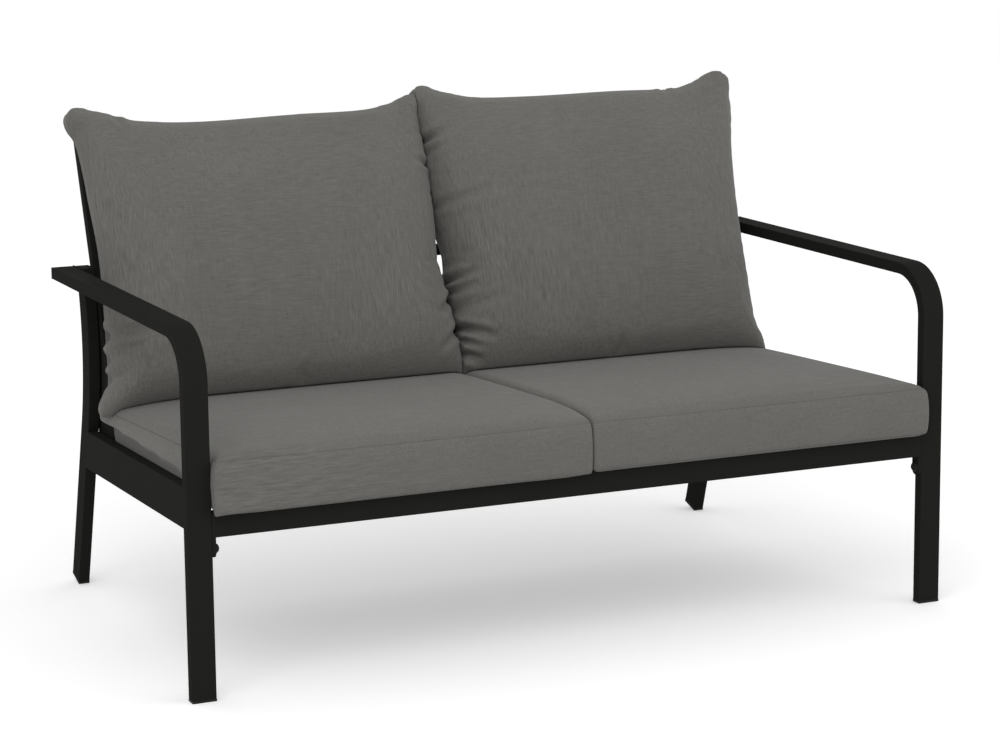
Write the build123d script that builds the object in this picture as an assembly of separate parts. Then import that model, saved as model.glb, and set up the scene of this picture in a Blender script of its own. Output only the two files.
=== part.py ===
from build123d import *
import os
from math import atan2, cos, pi, radians, sin, tan

# Patio loveseat in millimetres: +Z up, -Y the sitting side, +X to the viewer's right.
# Everything is laid out from the floor, the middle of the width and the front face of
# the front legs, and moved at the end so that the origin is the bottom centre of its box.

# Tubes of the frame
TUBE_WIDE = 40.0
TUBE_THIN = 20.0
TUBE_WALL = 1.6
TUBE_EDGE_R = 1.5
TUBE_EDGE_LENGTH = 60.0

# Side frames: front leg and arm in one bent tube, rear leg, side rail and arm link
OVERALL_WIDTH = 1366.0
ARM_HEIGHT = 590.0
ARM_LENGTH = 718.0
ARM_BEND_R = 86.0
REAR_LEG_INSET = 46.0
REAR_LEG_WAIST_AHEAD = 32.5
REAR_LEG_WAIST_Z = 448.5
REAR_LEG_BEND_R = 500.0
REAR_LEG_RAKE = 17.6
REAR_LEG_TOP_LEAN = 12.0
SIDE_RAIL_TALL = 68.0
SIDE_RAIL_FRONT_INSET = 20.0
SIDE_RAIL_REAR_INSET = 46.0

# Seat deck
SEAT_RAIL_BOTTOM = 262.5
SEAT_RAKE = 2.7
REAR_RAIL_THICK = 26.0
SEAT_SLAT_COUNT = 9
SEAT_SLAT_WIDE = 40.0
SEAT_SLAT_TALL = 15.0
CENTRE_BEARER_WIDE = 30.0
CENTRE_BEARER_TALL = 22.0

# Back frame, leaning on its own foot plates
BACK_LEAN = 20.0
BACK_GAP = 2.0
BACK_AHEAD_OF_ARM_END = 4.0
STILE_LENGTH = 560.0
FOOT_PLATE_THICK = 6.0
FOOT_PLATE_WIDE = 46.0
BACK_SLAT_COUNT = 8
BACK_SLAT_WIDE = 30.0
BACK_SLAT_THICK = 8.0
CROSS_RAIL_TALL = 20.0
LOWER_RAIL_RISE = 40.0
GUSSET_THICK = 4.0
GUSSET_INSET = 1.5
GUSSET_RISE = 8.0
GUSSET_TALL = 228.0
GUSSET_PAST_WAIST = 14.0

# Bolts, nuts and the tabs that hang below the front rail
BOLT_R = 4.0
BOLT_HOLE_CLEAR = 0.4
BOLT_HEAD_R = 9.0
BOLT_HEAD_HIGH = 7.5
BOLT_GRIP_PAST_NUT = 3.0
NUT_R = 7.0
NUT_THICK = 7.0
NUT_THREAD_CLEAR = 0.1
TAB_THICK = 6.0
TAB_LONG = 33.0
TAB_BOLT_DROP = 19.0

# Plastic feet and plugs
FOOT_THICK = 4.0
PLUG_THICK = 2.0
SPIGOT_LONG = 14.0
SPIGOT_CLEAR = 0.2
PLUG_EDGE_R = 0.8

# Seat cushions: boxed, with a crown
SEAT_OVERHANG = 22.0
SEAT_BOXING = 87.5
SEAT_CROWN = 16.0
SEAT_SIDE_BULGE = 5.0
SEAT_SIDE_DRAW = 4.0
SEAT_NOSE_DEEP = 16.0
SEAT_NOSE_DROP = 10.0
SEAT_BACK_CLEAR = 10.0
SEAT_SIDE_CLEAR = 2.5
SEAT_DECK_CLEAR = 0.3
CUSHION_GAP = 1.0

# Back cushions: soft pillows with a knife edge and raised top corners
BACK_SEAM_DEEP = 44.0
BACK_FRONT_DEEP = 146.0
BACK_BASE_DEEP = 108.0
BACK_BASE_HEEL = 26.0
BACK_FRONT_BASE_RISE = 62.0
BACK_HEEL_RISE = 90.0
BACK_FLAT_TOP_RISE = 474.0
BACK_TOP_RISE = 567.0
BACK_SHOULDER_DEEP = 118.0
BACK_SHOULDER_DROP = 70.0
BACK_EAR_RISE = 32.0
BACK_SIDE_DRAW = 21.0
BACK_CORNER_OUT = 2.0
BACK_REST_CLEAR = 0.5
BACK_SEAT_CLEAR = 2.0

# Cover with its fibre wrap, and the core inside
COVER_THICK = 8.0
CORE_CLEAR = 0.3

# Zips and their sliders
ZIP_WIDE = 8.0
ZIP_THICK = 2.0
ZIP_BED = 0.2
SEAT_ZIP_LONG = 480.0
BACK_ZIP_LONG = 340.0
SLIDER_LONG = 14.0
SLIDER_WIDE = 9.0
SLIDER_HIGH = 3.2
SLIDER_CLEAR = 0.3
PULL_LONG = 24.0
PULL_WIDE = 5.0
PULL_THICK = 1.4

SEAT_NOSE_STATIONS = 3
SEAT_BODY_STATIONS = 8
SEAT_CROWN_EDGE_share = 0.25

BACK_STATIONS = 6
BACK_EDGE_FULLNESS_share = 0.2
BACK_EDGE_FLATNESS_share = 0.4
BACK_EAR_WIDTH_share = 0.45

# One overrun for every cutting tool
OVERRUN = 5.0

# Places that follow from the sizes above
half_width = OVERALL_WIDTH / 2
seat_rail_top = SEAT_RAIL_BOTTOM + TUBE_WIDE
rake_slope = tan(radians(SEAT_RAKE))
leg_inner_x = half_width - TUBE_WIDE
rear_leg_outer_x = half_width - REAR_LEG_INSET
rear_leg_inner_x = rear_leg_outer_x - TUBE_THIN
stile_outer_x = rear_leg_inner_x - BACK_GAP
stile_inner_x = stile_outer_x - TUBE_THIN
tube_foot_z = FOOT_THICK
link_bottom_z = ARM_HEIGHT - TUBE_THIN
waist_y = ARM_LENGTH - REAR_LEG_WAIST_AHEAD
back_lean_slope = tan(radians(BACK_LEAN))
stile_run = TUBE_THIN / cos(radians(BACK_LEAN))
foot_lead = (REAR_RAIL_THICK + stile_run) / 2
back_rise = ARM_HEIGHT - seat_rail_top - FOOT_PLATE_THICK - TUBE_THIN * rake_slope
back_foot_reach = ARM_LENGTH - BACK_AHEAD_OF_ARM_END - foot_lead - back_rise * back_lean_slope
deck_back_y = back_foot_reach / (1 + rake_slope * back_lean_slope)
deck_depth = deck_back_y - TUBE_THIN
back_half_width = (leg_inner_x + BACK_CORNER_OUT - CUSHION_GAP) / 2


def deck_z(y):
    """Height of the raked seat deck at a depth."""
    return seat_rail_top - (y - TUBE_THIN) * rake_slope


rear_rail_top = deck_z(deck_back_y)
plate_top = rear_rail_top + FOOT_PLATE_THICK


def block(x0, x1, y0, y1, z0, z1):
    """Box between two corners."""
    middle = Pos((x0 + x1) / 2, (y0 + y1) / 2, (z0 + z1) / 2)
    return middle * Box(abs(x1 - x0), abs(y1 - y0), abs(z1 - z0))


def slab(profile, x0, x1):
    """A face drawn as (depth, height), pushed out across the width."""
    return Pos(x0, 0, 0) * extrude(Plane.YZ * profile, amount=x1 - x0, dir=(1, 0, 0))


def eased(tube):
    """A tube with its long edges rounded."""
    long_edges = [edge for edge in tube.edges() if edge.length > TUBE_EDGE_LENGTH]
    return fillet(long_edges, TUBE_EDGE_R)


def mirrored(shape):
    """The same piece on the other side of the middle."""
    return mirror(shape, about=Plane.YZ)


def group(solids):
    """Separate solids kept in one node."""
    return Compound(children=[solid for shape in solids for solid in shape.solids()])


def rod(radius, start, direction, length):
    """Round bar from a point along a direction."""
    return extrude(Plane(origin=start, z_dir=direction) * Circle(radius), amount=length)


# Side frames


def arm_profile(inset):
    """Front leg and arm seen from the side, with its walls drawn in by an inset."""
    outer_r = ARM_BEND_R - inset
    inner_r = ARM_BEND_R - TUBE_THIN + inset
    top = ARM_HEIGHT - inset
    under = link_bottom_z + inset
    front = inset
    behind = TUBE_THIN - inset
    bend_z = ARM_HEIGHT - ARM_BEND_R
    centre = (ARM_BEND_R, bend_z)
    edges = [
        Line((front, tube_foot_z), (front, bend_z)),
        CenterArc(centre, outer_r, 180, -90),
        Line((ARM_BEND_R, top), (ARM_LENGTH, top)),
        Line((ARM_LENGTH, top), (ARM_LENGTH, under)),
        Line((ARM_LENGTH, under), (ARM_BEND_R, under)),
        CenterArc(centre, inner_r, 90, 90),
        Line((behind, bend_z), (behind, tube_foot_z)),
        Line((behind, tube_foot_z), (front, tube_foot_z)),
    ]
    return make_face(edges)


def arm_leg():
    """Bent tube of the right front leg and arm, with the bolt hole of its tab."""
    tube = eased(slab(arm_profile(0), leg_inner_x, half_width))
    bore = slab(arm_profile(TUBE_WALL), leg_inner_x + TUBE_WALL, half_width - TUBE_WALL)
    hole = rod(BOLT_R + BOLT_HOLE_CLEAR, tab_bolt_point(), (1, 0, 0), TAB_THICK + TUBE_WALL)
    return tube - bore - hole


def leg_point(radius, angle, beyond):
    """Point beside the rear leg's centre line, past the bend by a length if it is given."""
    centre_y = waist_y + REAR_LEG_BEND_R
    y = centre_y - radius * cos(radians(angle)) + abs(beyond) * sin(radians(abs(angle)))
    z = REAR_LEG_WAIST_Z + radius * sin(radians(angle)) + beyond * cos(radians(angle))
    return (y, z)


def leg_foot_run(extra):
    """Length of the rear leg's straight below its bend, down to an end that much higher."""
    rake = radians(REAR_LEG_RAKE)
    bend_end_z = REAR_LEG_WAIST_Z - REAR_LEG_BEND_R * sin(rake)
    toe = TUBE_WIDE / 2 * sin(rake)
    return (bend_end_z - toe) / cos(rake) - extra


def leg_side(radius, extra):
    """The points of one long face of the rear leg, from the foot to past the top."""
    low = -REAR_LEG_RAKE
    high = REAR_LEG_TOP_LEAN
    past_top = ARM_HEIGHT - REAR_LEG_WAIST_Z
    return [
        leg_point(radius, low, -leg_foot_run(extra)),
        leg_point(radius, low, 0),
        leg_point(radius, 0, 0),
        leg_point(radius, high, 0),
        leg_point(radius, high, past_top),
    ]


def rear_leg_profile(inset, extra):
    """Rear leg seen from the side, with its walls drawn in by an inset."""
    front = leg_side(REAR_LEG_BEND_R + TUBE_WIDE / 2 - inset, extra)
    behind = leg_side(REAR_LEG_BEND_R - TUBE_WIDE / 2 + inset, extra)
    edges = [
        Line(front[0], front[1]),
        ThreePointArc(front[1], front[2], front[3]),
        Line(front[3], front[4]),
        Line(front[4], behind[4]),
        Line(behind[4], behind[3]),
        ThreePointArc(behind[3], behind[2], behind[1]),
        Line(behind[1], behind[0]),
        Line(behind[0], front[0]),
    ]
    return make_face(edges)


def rear_leg_filled():
    """The right rear leg without its bore, cut level under the arm link."""
    leg = eased(slab(rear_leg_profile(0, FOOT_THICK), rear_leg_inner_x, rear_leg_outer_x))
    above = block(0, half_width, 0, 2 * ARM_LENGTH, link_bottom_z, 2 * ARM_HEIGHT)
    return leg - above


def rear_leg():
    """Bent tube of the right rear leg, with the hole of the back frame's bolt."""
    bore = slab(
        rear_leg_profile(TUBE_WALL, FOOT_THICK),
        rear_leg_inner_x + TUBE_WALL,
        rear_leg_outer_x - TUBE_WALL,
    )
    hole = rod(BOLT_R + BOLT_HOLE_CLEAR, back_bolt_point(), (1, 0, 0), back_bolt_grip())
    return rear_leg_filled() - bore - hole


def side_rail_section(y, outer_inset, wall):
    """End of the side rail at a depth, as a rectangle in width and height."""
    x1 = half_width - outer_inset - wall
    x0 = half_width - outer_inset - TUBE_THIN + wall
    z0 = deck_z(y) - TUBE_WIDE + wall
    z1 = z0 + SIDE_RAIL_TALL - 2 * wall
    corners = [(x0, y, z0), (x1, y, z0), (x1, y, z1), (x0, y, z1)]
    return Face(Wire.make_polygon([Vector(*p) for p in corners], close=True))


def side_rail_back_y():
    """Depth inside the rear leg at which the side rail's raw end lies."""
    height = SEAT_RAIL_BOTTOM + SIDE_RAIL_TALL / 2 - waist_y * rake_slope
    drop = (REAR_LEG_WAIST_Z - height) / REAR_LEG_BEND_R
    return waist_y + REAR_LEG_BEND_R * (1 - (1 - drop**2) ** 0.5)


def side_rail_body(wall):
    """Side rail from the front leg into the rear leg, drawn in by a wall."""
    ends = [
        side_rail_section(TUBE_THIN, SIDE_RAIL_FRONT_INSET, wall),
        side_rail_section(side_rail_back_y(), SIDE_RAIL_REAR_INSET, wall),
    ]
    return loft(ends, ruled=True)


def side_rail():
    """Hollow side rail, its back end cut to the rear leg."""
    rail = eased(side_rail_body(0)) - side_rail_body(TUBE_WALL) - rear_leg_filled()
    return max(rail.solids(), key=lambda solid: solid.volume)


def side_rail_inner_x(y):
    """Distance of the side rail's inner face from the middle at a depth."""
    run = side_rail_back_y() - TUBE_THIN
    share = (y - TUBE_THIN) / run
    drift = SIDE_RAIL_REAR_INSET - SIDE_RAIL_FRONT_INSET
    return leg_inner_x + TUBE_WIDE - SIDE_RAIL_FRONT_INSET - TUBE_THIN - share * drift


def arm_link():
    """Flat tube that ties the arm's back end to the top of the rear leg."""
    y0 = ARM_LENGTH - TUBE_WIDE
    tube = block(rear_leg_inner_x, leg_inner_x, y0, ARM_LENGTH, link_bottom_z, ARM_HEIGHT)
    bore = block(
        rear_leg_inner_x + TUBE_WALL,
        leg_inner_x,
        y0 + TUBE_WALL,
        ARM_LENGTH - TUBE_WALL,
        link_bottom_z + TUBE_WALL,
        ARM_HEIGHT - TUBE_WALL,
    )
    return tube - bore


# Seat deck


def front_rail():
    """Hollow front rail between the front legs."""
    tube = eased(block(-leg_inner_x, leg_inner_x, 0, TUBE_THIN, SEAT_RAIL_BOTTOM, seat_rail_top))
    bore = block(
        -leg_inner_x,
        leg_inner_x,
        TUBE_WALL,
        TUBE_THIN - TUBE_WALL,
        SEAT_RAIL_BOTTOM + TUBE_WALL,
        seat_rail_top - TUBE_WALL,
    )
    return tube - bore


def rear_rail():
    """Hollow rear rail, its ends cut to the side rails."""
    reach = half_width
    y1 = deck_back_y + REAR_RAIL_THICK
    z0 = rear_rail_top - TUBE_WIDE
    tube = eased(block(-reach, reach, deck_back_y, y1, z0, rear_rail_top))
    bore = block(
        -reach,
        reach,
        deck_back_y + TUBE_WALL,
        y1 - TUBE_WALL,
        z0 + TUBE_WALL,
        rear_rail_top - TUBE_WALL,
    )
    sides = side_rail_body(0)
    rail = tube - bore - sides - mirrored(sides)
    rail = max(rail.solids(), key=lambda solid: solid.volume)
    for side in (-1, 1):
        x, y, z = foot_bolt_point()
        hole_top = (side * x, y, z)
        rail = rail - rod(BOLT_R + BOLT_HOLE_CLEAR, hole_top, (0, 0, -1), foot_bolt_grip())
    return rail


def slat_profile(tall, wall):
    """Seat slat seen from the side, between the front and rear rails."""
    front = deck_z(TUBE_THIN)
    behind = deck_z(deck_back_y)
    points = [
        (TUBE_THIN, front - wall),
        (deck_back_y, behind - wall),
        (deck_back_y, behind - tall + wall),
        (TUBE_THIN, front - tall + wall),
    ]
    return make_face(Polyline(*points, close=True))


def slat(x, wide, tall):
    """Hollow slat centred on a place across the width."""
    tube = eased(slab(slat_profile(tall, 0), x - wide / 2, x + wide / 2))
    bore = slab(slat_profile(tall, TUBE_WALL), x - wide / 2 + TUBE_WALL, x + wide / 2 - TUBE_WALL)
    return tube - bore


def seat_slats():
    """Slats at an even pitch, leaving the middle place to the bearer."""
    reach = side_rail_inner_x(deck_back_y)
    pitch = 2 * reach / (SEAT_SLAT_COUNT + 1)
    middle = (SEAT_SLAT_COUNT - 1) // 2
    places = [pitch * (i - middle) for i in range(SEAT_SLAT_COUNT) if i != middle]
    return group([slat(x, SEAT_SLAT_WIDE, SEAT_SLAT_TALL) for x in places])


# Tabs, bolts, nuts and spacers


def tab_bolt_point():
    """Where the right tab's bolt enters it, on the tab's inner face."""
    return (leg_inner_x - TAB_THICK, TUBE_THIN / 2, SEAT_RAIL_BOTTOM - TAB_BOLT_DROP)


def tab():
    """Round-ended tab below the end of the front rail, against the right front leg."""
    x0 = leg_inner_x - TAB_THICK
    middle = TUBE_THIN / 2
    round_z = SEAT_RAIL_BOTTOM - TAB_LONG + middle
    edges = [
        Line((0, SEAT_RAIL_BOTTOM), (0, round_z)),
        ThreePointArc((0, round_z), (middle, round_z - middle), (TUBE_THIN, round_z)),
        Line((TUBE_THIN, round_z), (TUBE_THIN, SEAT_RAIL_BOTTOM)),
        Line((TUBE_THIN, SEAT_RAIL_BOTTOM), (0, SEAT_RAIL_BOTTOM)),
    ]
    plate = slab(make_face(edges), x0, leg_inner_x)
    return plate - rod(BOLT_R + BOLT_HOLE_CLEAR, tab_bolt_point(), (1, 0, 0), TAB_THICK)


def stile_y(z, depth):
    """Depth of the stile at a height, that far behind its front face along the depth."""
    lean = radians(BACK_LEAN)
    return back_foot_y() + (z - plate_top) * tan(lean) + depth / cos(lean)


def back_foot_y():
    """Depth at which the stile's front face meets its foot plate."""
    return deck_back_y + (REAR_RAIL_THICK - stile_run) / 2


def back_bolt_z():
    """Height of the bolt that ties the stile to the rear leg."""
    return link_bottom_z - TUBE_WIDE / 2


def back_bolt_point():
    """Where that bolt enters the right stile, on its inner face."""
    return (stile_inner_x, stile_y(back_bolt_z(), TUBE_THIN / 2), back_bolt_z())


def back_bolt_grip():
    """From the stile's inner face to the inside of the rear leg's near wall."""
    return TUBE_THIN + BACK_GAP + TUBE_WALL


def foot_bolt_point():
    """Where the foot plate's bolt enters it, on its top."""
    x = stile_inner_x - (FOOT_PLATE_WIDE - TUBE_THIN) / 2
    return (x, deck_back_y + REAR_RAIL_THICK / 2, plate_top)


def foot_bolt_grip():
    """From the foot plate's top to the inside of the rear rail's top wall."""
    return FOOT_PLATE_THICK + TUBE_WALL


def foot_plate():
    """Plate under the right stile, bolted down to the rear rail."""
    x0 = stile_outer_x - FOOT_PLATE_WIDE
    y1 = deck_back_y + REAR_RAIL_THICK
    plate = block(x0, stile_outer_x, deck_back_y, y1, rear_rail_top, plate_top)
    return plate - rod(BOLT_R + BOLT_HOLE_CLEAR, foot_bolt_point(), (0, 0, -1), FOOT_PLATE_THICK)


def bolt(entry, direction, grip):
    """Dome-headed bolt whose head sits at its entry and whose shank runs through a nut."""
    rise = BOLT_HEAD_HIGH
    ball_r = (BOLT_HEAD_R**2 + rise**2) / (2 * rise)
    profile = make_face(
        [
            Line((0, 0), (BOLT_HEAD_R, 0)),
            ThreePointArc((BOLT_HEAD_R, 0), dome_point(ball_r, rise), (0, rise)),
            Line((0, rise), (0, 0)),
        ]
    )
    head = revolve(Plane.XZ * profile, axis=Axis.Z)
    away = tuple(-part for part in direction)
    head = Plane(origin=entry, z_dir=away) * head
    shank = rod(BOLT_R, entry, direction, grip + NUT_THICK + BOLT_GRIP_PAST_NUT)
    return head + shank


def dome_point(ball_r, rise):
    """Point halfway over a dome of a given height."""
    half = atan2(BOLT_HEAD_R, ball_r - rise) / 2
    return (ball_r * sin(half), ball_r * cos(half) - ball_r + rise)


def nut(entry, direction, grip):
    """Hexagon nut on the far side of what the bolt grips."""
    start = tuple(e + d * grip for e, d in zip(entry, direction))
    plane = Plane(origin=start, z_dir=direction)
    ring = RegularPolygon(NUT_R, 6) - Circle(BOLT_R + NUT_THREAD_CLEAR)
    return extrude(plane * ring, amount=NUT_THICK)


def fixings():
    """Every bolted place on the right side: entry, direction and grip."""
    return [
        (tab_bolt_point(), (1, 0, 0), TAB_THICK + TUBE_WALL),
        (back_bolt_point(), (1, 0, 0), back_bolt_grip()),
        (foot_bolt_point(), (0, 0, -1), foot_bolt_grip()),
    ]


def spacer():
    """Washer that fills the gap between the right stile and rear leg."""
    x, y, z = back_bolt_point()
    start = (stile_outer_x, y, z)
    disc = rod(BOLT_HEAD_R, start, (1, 0, 0), BACK_GAP)
    return disc - rod(BOLT_R + BOLT_HOLE_CLEAR, start, (1, 0, 0), BACK_GAP)


# Back frame, drawn upright with its front face at zero depth and then leaned back


def leaned(shape):
    """Lean an upright piece of the back about the foot of the stile's front face."""
    return Location((0, back_foot_y(), plate_top), (-BACK_LEAN, 0, 0)) * shape


def stile():
    """Right stile of the back frame, cut level on its foot plate."""
    low = -TUBE_THIN
    tube = eased(block(stile_inner_x, stile_outer_x, 0, TUBE_THIN, low, STILE_LENGTH))
    bore = block(
        stile_inner_x + TUBE_WALL,
        stile_outer_x - TUBE_WALL,
        TUBE_WALL,
        TUBE_THIN - TUBE_WALL,
        low,
        STILE_LENGTH,
    )
    below = block(0, half_width, 0, 2 * ARM_LENGTH, 0, plate_top)
    hole = rod(BOLT_R + BOLT_HOLE_CLEAR, back_bolt_point(), (1, 0, 0), TUBE_THIN)
    return leaned(tube - bore) - below - hole + gusset()


def gusset():
    """Plate welded behind the right stile, in the corner between it and the rear leg."""
    low = plate_top + GUSSET_RISE
    high = low + GUSSET_TALL
    back = waist_y + GUSSET_PAST_WAIST
    into = TUBE_THIN - TUBE_WALL / 2
    corners = [(stile_y(low, into), low), (back, low), (back, high), (stile_y(high, into), high)]
    edges = [Line(a, b) for a, b in zip(corners, corners[1:] + corners[:1])]
    outer = stile_outer_x - GUSSET_INSET
    return slab(make_face(edges), outer - GUSSET_THICK, outer)


def back_cross_tube(bottom, tall, front, behind):
    """Tube across the back frame, between the stiles."""
    x = stile_inner_x
    tube = eased(block(-x, x, front, behind, bottom, bottom + tall))
    bore = block(
        -x,
        x,
        front + TUBE_WALL,
        behind - TUBE_WALL,
        bottom + TUBE_WALL,
        bottom + tall - TUBE_WALL,
    )
    return leaned(tube - bore)


def top_rail():
    """Rail between the tops of the stiles."""
    return back_cross_tube(STILE_LENGTH - TUBE_THIN, TUBE_THIN, 0, TUBE_THIN)


def lower_rail():
    """Rail between the stiles just above the seat deck."""
    return back_cross_tube(LOWER_RAIL_RISE, TUBE_THIN, 0, TUBE_THIN)


def cross_rail():
    """Rail at arm height behind the slats."""
    lean = radians(BACK_LEAN)
    top = (ARM_HEIGHT - plate_top) / cos(lean) - BACK_SLAT_THICK * tan(lean)
    return back_cross_tube(top - CROSS_RAIL_TALL, CROSS_RAIL_TALL, BACK_SLAT_THICK, TUBE_THIN)


def back_slats():
    """Upright slats between the lower and top rails, none in the middle."""
    low = LOWER_RAIL_RISE + TUBE_THIN
    high = STILE_LENGTH - TUBE_THIN
    pitch = 2 * stile_inner_x / BACK_SLAT_COUNT
    half = BACK_SLAT_WIDE / 2
    slats = []
    for i in range(BACK_SLAT_COUNT):
        x = pitch * (i + (1 - BACK_SLAT_COUNT) / 2)
        bar = block(x - half, x + half, 0, BACK_SLAT_THICK, low, high)
        slats.append(leaned(eased(bar)))
    return group(slats)


# Plastic feet and plugs


def plug(wide, deep, thick):
    """Cap with a spigot, standing on its cap with the tube above it."""
    cap = Pos(0, 0, thick / 2) * Box(wide, deep, thick)
    cap = fillet(cap.edges().group_by(Axis.Z)[0], PLUG_EDGE_R)
    slack = 2 * (TUBE_WALL + SPIGOT_CLEAR)
    spigot = Pos(0, 0, thick + SPIGOT_LONG / 2) * Box(wide - slack, deep - slack, SPIGOT_LONG)
    return cap + spigot


def front_foot():
    """Foot under the right front leg."""
    place = Pos(half_width - TUBE_WIDE / 2, TUBE_THIN / 2, 0)
    return place * plug(TUBE_WIDE, TUBE_THIN, FOOT_THICK)


def rear_foot():
    """Foot square to the end of the right rear leg."""
    y, z = leg_point(REAR_LEG_BEND_R, -REAR_LEG_RAKE, -leg_foot_run(0))
    place = Location((rear_leg_outer_x - TUBE_THIN / 2, y, z), (REAR_LEG_RAKE, 0, 0))
    return place * plug(TUBE_THIN, TUBE_WIDE, FOOT_THICK)


def arm_plug():
    """Plug in the back end of the right arm."""
    x = half_width - TUBE_WIDE / 2
    z = ARM_HEIGHT - TUBE_THIN / 2
    place = Location((x, ARM_LENGTH + PLUG_THICK, z), (90, 0, 0))
    return place * plug(TUBE_WIDE, TUBE_THIN, PLUG_THICK)


def stile_plug():
    """Plug in the top of the right stile."""
    x = stile_outer_x - TUBE_THIN / 2
    top = STILE_LENGTH + PLUG_THICK
    place = Location((x, TUBE_THIN / 2, top), (180, 0, 0))
    return leaned(place * plug(TUBE_THIN, TUBE_THIN, PLUG_THICK))


# Seat cushions, drawn on a level deck and then raked


def raked(shape):
    """Lay a level shape on the raked deck, about the back edge of the front rail."""
    return Location((0, TUBE_THIN, seat_rail_top), (-SEAT_RAKE, 0, 0)) * shape


def seat_outer_x(u):
    """Outer side of the right seat cushion at a distance behind the front rail."""
    return side_rail_inner_x(TUBE_THIN + max(u, 0)) - SEAT_SIDE_CLEAR


def seat_section(u, crown, shrink, draw, inset):
    """Closed section across a seat cushion: base, two bulged sides and the crown."""
    x0 = CUSHION_GAP + shrink + inset + draw / 2
    x1 = seat_outer_x(u) - shrink - inset - draw
    z0 = SEAT_DECK_CLEAR + shrink + inset
    z1 = SEAT_BOXING - shrink - inset
    mid_z = (z0 + z1) / 2
    lip = SEAT_SIDE_BULGE
    corners = [(x0 + lip, u, z0), (x1 - lip, u, z0), (x1 - lip, u, z1), (x0 + lip, u, z1)]
    a, b, c, d = [Vector(*point) for point in corners]
    edges = [
        Edge.make_line(a, b),
        Edge.make_three_point_arc(b, Vector(x1, u, mid_z), c),
        Edge.make_three_point_arc(c, Vector((x0 + x1) / 2, u, z1 + crown), d),
        Edge.make_three_point_arc(d, Vector(x0, u, mid_z), a),
    ]
    return Face(Wire(edges))


def seat_stations(inset):
    """Sections from the nose to the back of a seat cushion."""
    front = -TUBE_THIN - SEAT_OVERHANG + inset
    nose = front + SEAT_NOSE_DEEP
    length = deck_depth + TUBE_WIDE - nose
    edge_crown = SEAT_CROWN * SEAT_CROWN_EDGE_share
    stations = []
    for i in range(SEAT_NOSE_STATIONS):
        turn = pi / 2 * i / SEAT_NOSE_STATIONS
        u = front + SEAT_NOSE_DEEP * (1 - cos(turn))
        shrink = SEAT_NOSE_DROP * (1 - sin(turn))
        stations.append(seat_section(u, edge_crown, shrink, 0, inset))
    for i in range(SEAT_BODY_STATIONS):
        share = i / (SEAT_BODY_STATIONS - 1)
        swell = sin(pi * share)
        crown = edge_crown + (SEAT_CROWN - edge_crown) * swell
        stations.append(seat_section(nose + length * share, crown, 0, SEAT_SIDE_DRAW * swell, inset))
    return stations


def seat_form(inset):
    """Seat cushion's body, cut at the back along the back frame's lean."""
    body = raked(loft(seat_stations(inset), ruled=True))
    gap = SEAT_BACK_CLEAR + inset
    deep = half_width
    behind = leaned(block(-deep, deep, -gap, deep, -deep, deep))
    return body - behind


def seat_zip_place():
    """Middle of the zip on the back face of the right seat cushion."""
    x = (CUSHION_GAP + seat_outer_x(deck_depth)) / 2
    rise = (SEAT_BOXING / 2 - FOOT_PLATE_THICK) / cos(radians(BACK_LEAN))
    return Location((0, back_foot_y(), plate_top), (-BACK_LEAN, 0, 0)) * Location(
        (x, -SEAT_BACK_CLEAR, rise), (-90, 0, 0)
    )


# Zips: drawn flat with the outer face of the zip up, then placed


def zip_bar(long, spare):
    """Zip sunk in the cover, or the bed that is cut for it."""
    wide = ZIP_WIDE + 2 * spare
    deep = ZIP_THICK + spare
    return Pos(0, 0, -deep / 2) * Box(long + 2 * spare, wide, deep)


def slider(long):
    """Zip slider with its pull, at the end of the zip nearer the middle."""
    x = -long / 2 + SLIDER_LONG / 2
    body = Pos(x, 0, SLIDER_CLEAR + SLIDER_HIGH / 2) * Box(SLIDER_LONG, SLIDER_WIDE, SLIDER_HIGH)
    body = fillet(body.edges().filter_by(Axis.Z), SLIDER_WIDE / 4)
    pull_z = SLIDER_CLEAR + SLIDER_HIGH + PULL_THICK / 2
    pull_x = x + PULL_LONG / 2 - SLIDER_LONG / 4
    pull = Pos(pull_x, 0, pull_z) * Box(PULL_LONG, PULL_WIDE, PULL_THICK)
    return body + fillet(pull.edges().filter_by(Axis.Z), PULL_WIDE / 4)


# Back cushions, drawn upright in front of the back frame


def base_rise(deep):
    """Height of a back cushion's flat base, that far in front of the back frame."""
    slope = (BACK_HEEL_RISE - BACK_FRONT_BASE_RISE) / (BACK_BASE_DEEP - BACK_BASE_HEEL)
    return BACK_FRONT_BASE_RISE + (BACK_BASE_DEEP - deep) * slope


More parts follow.
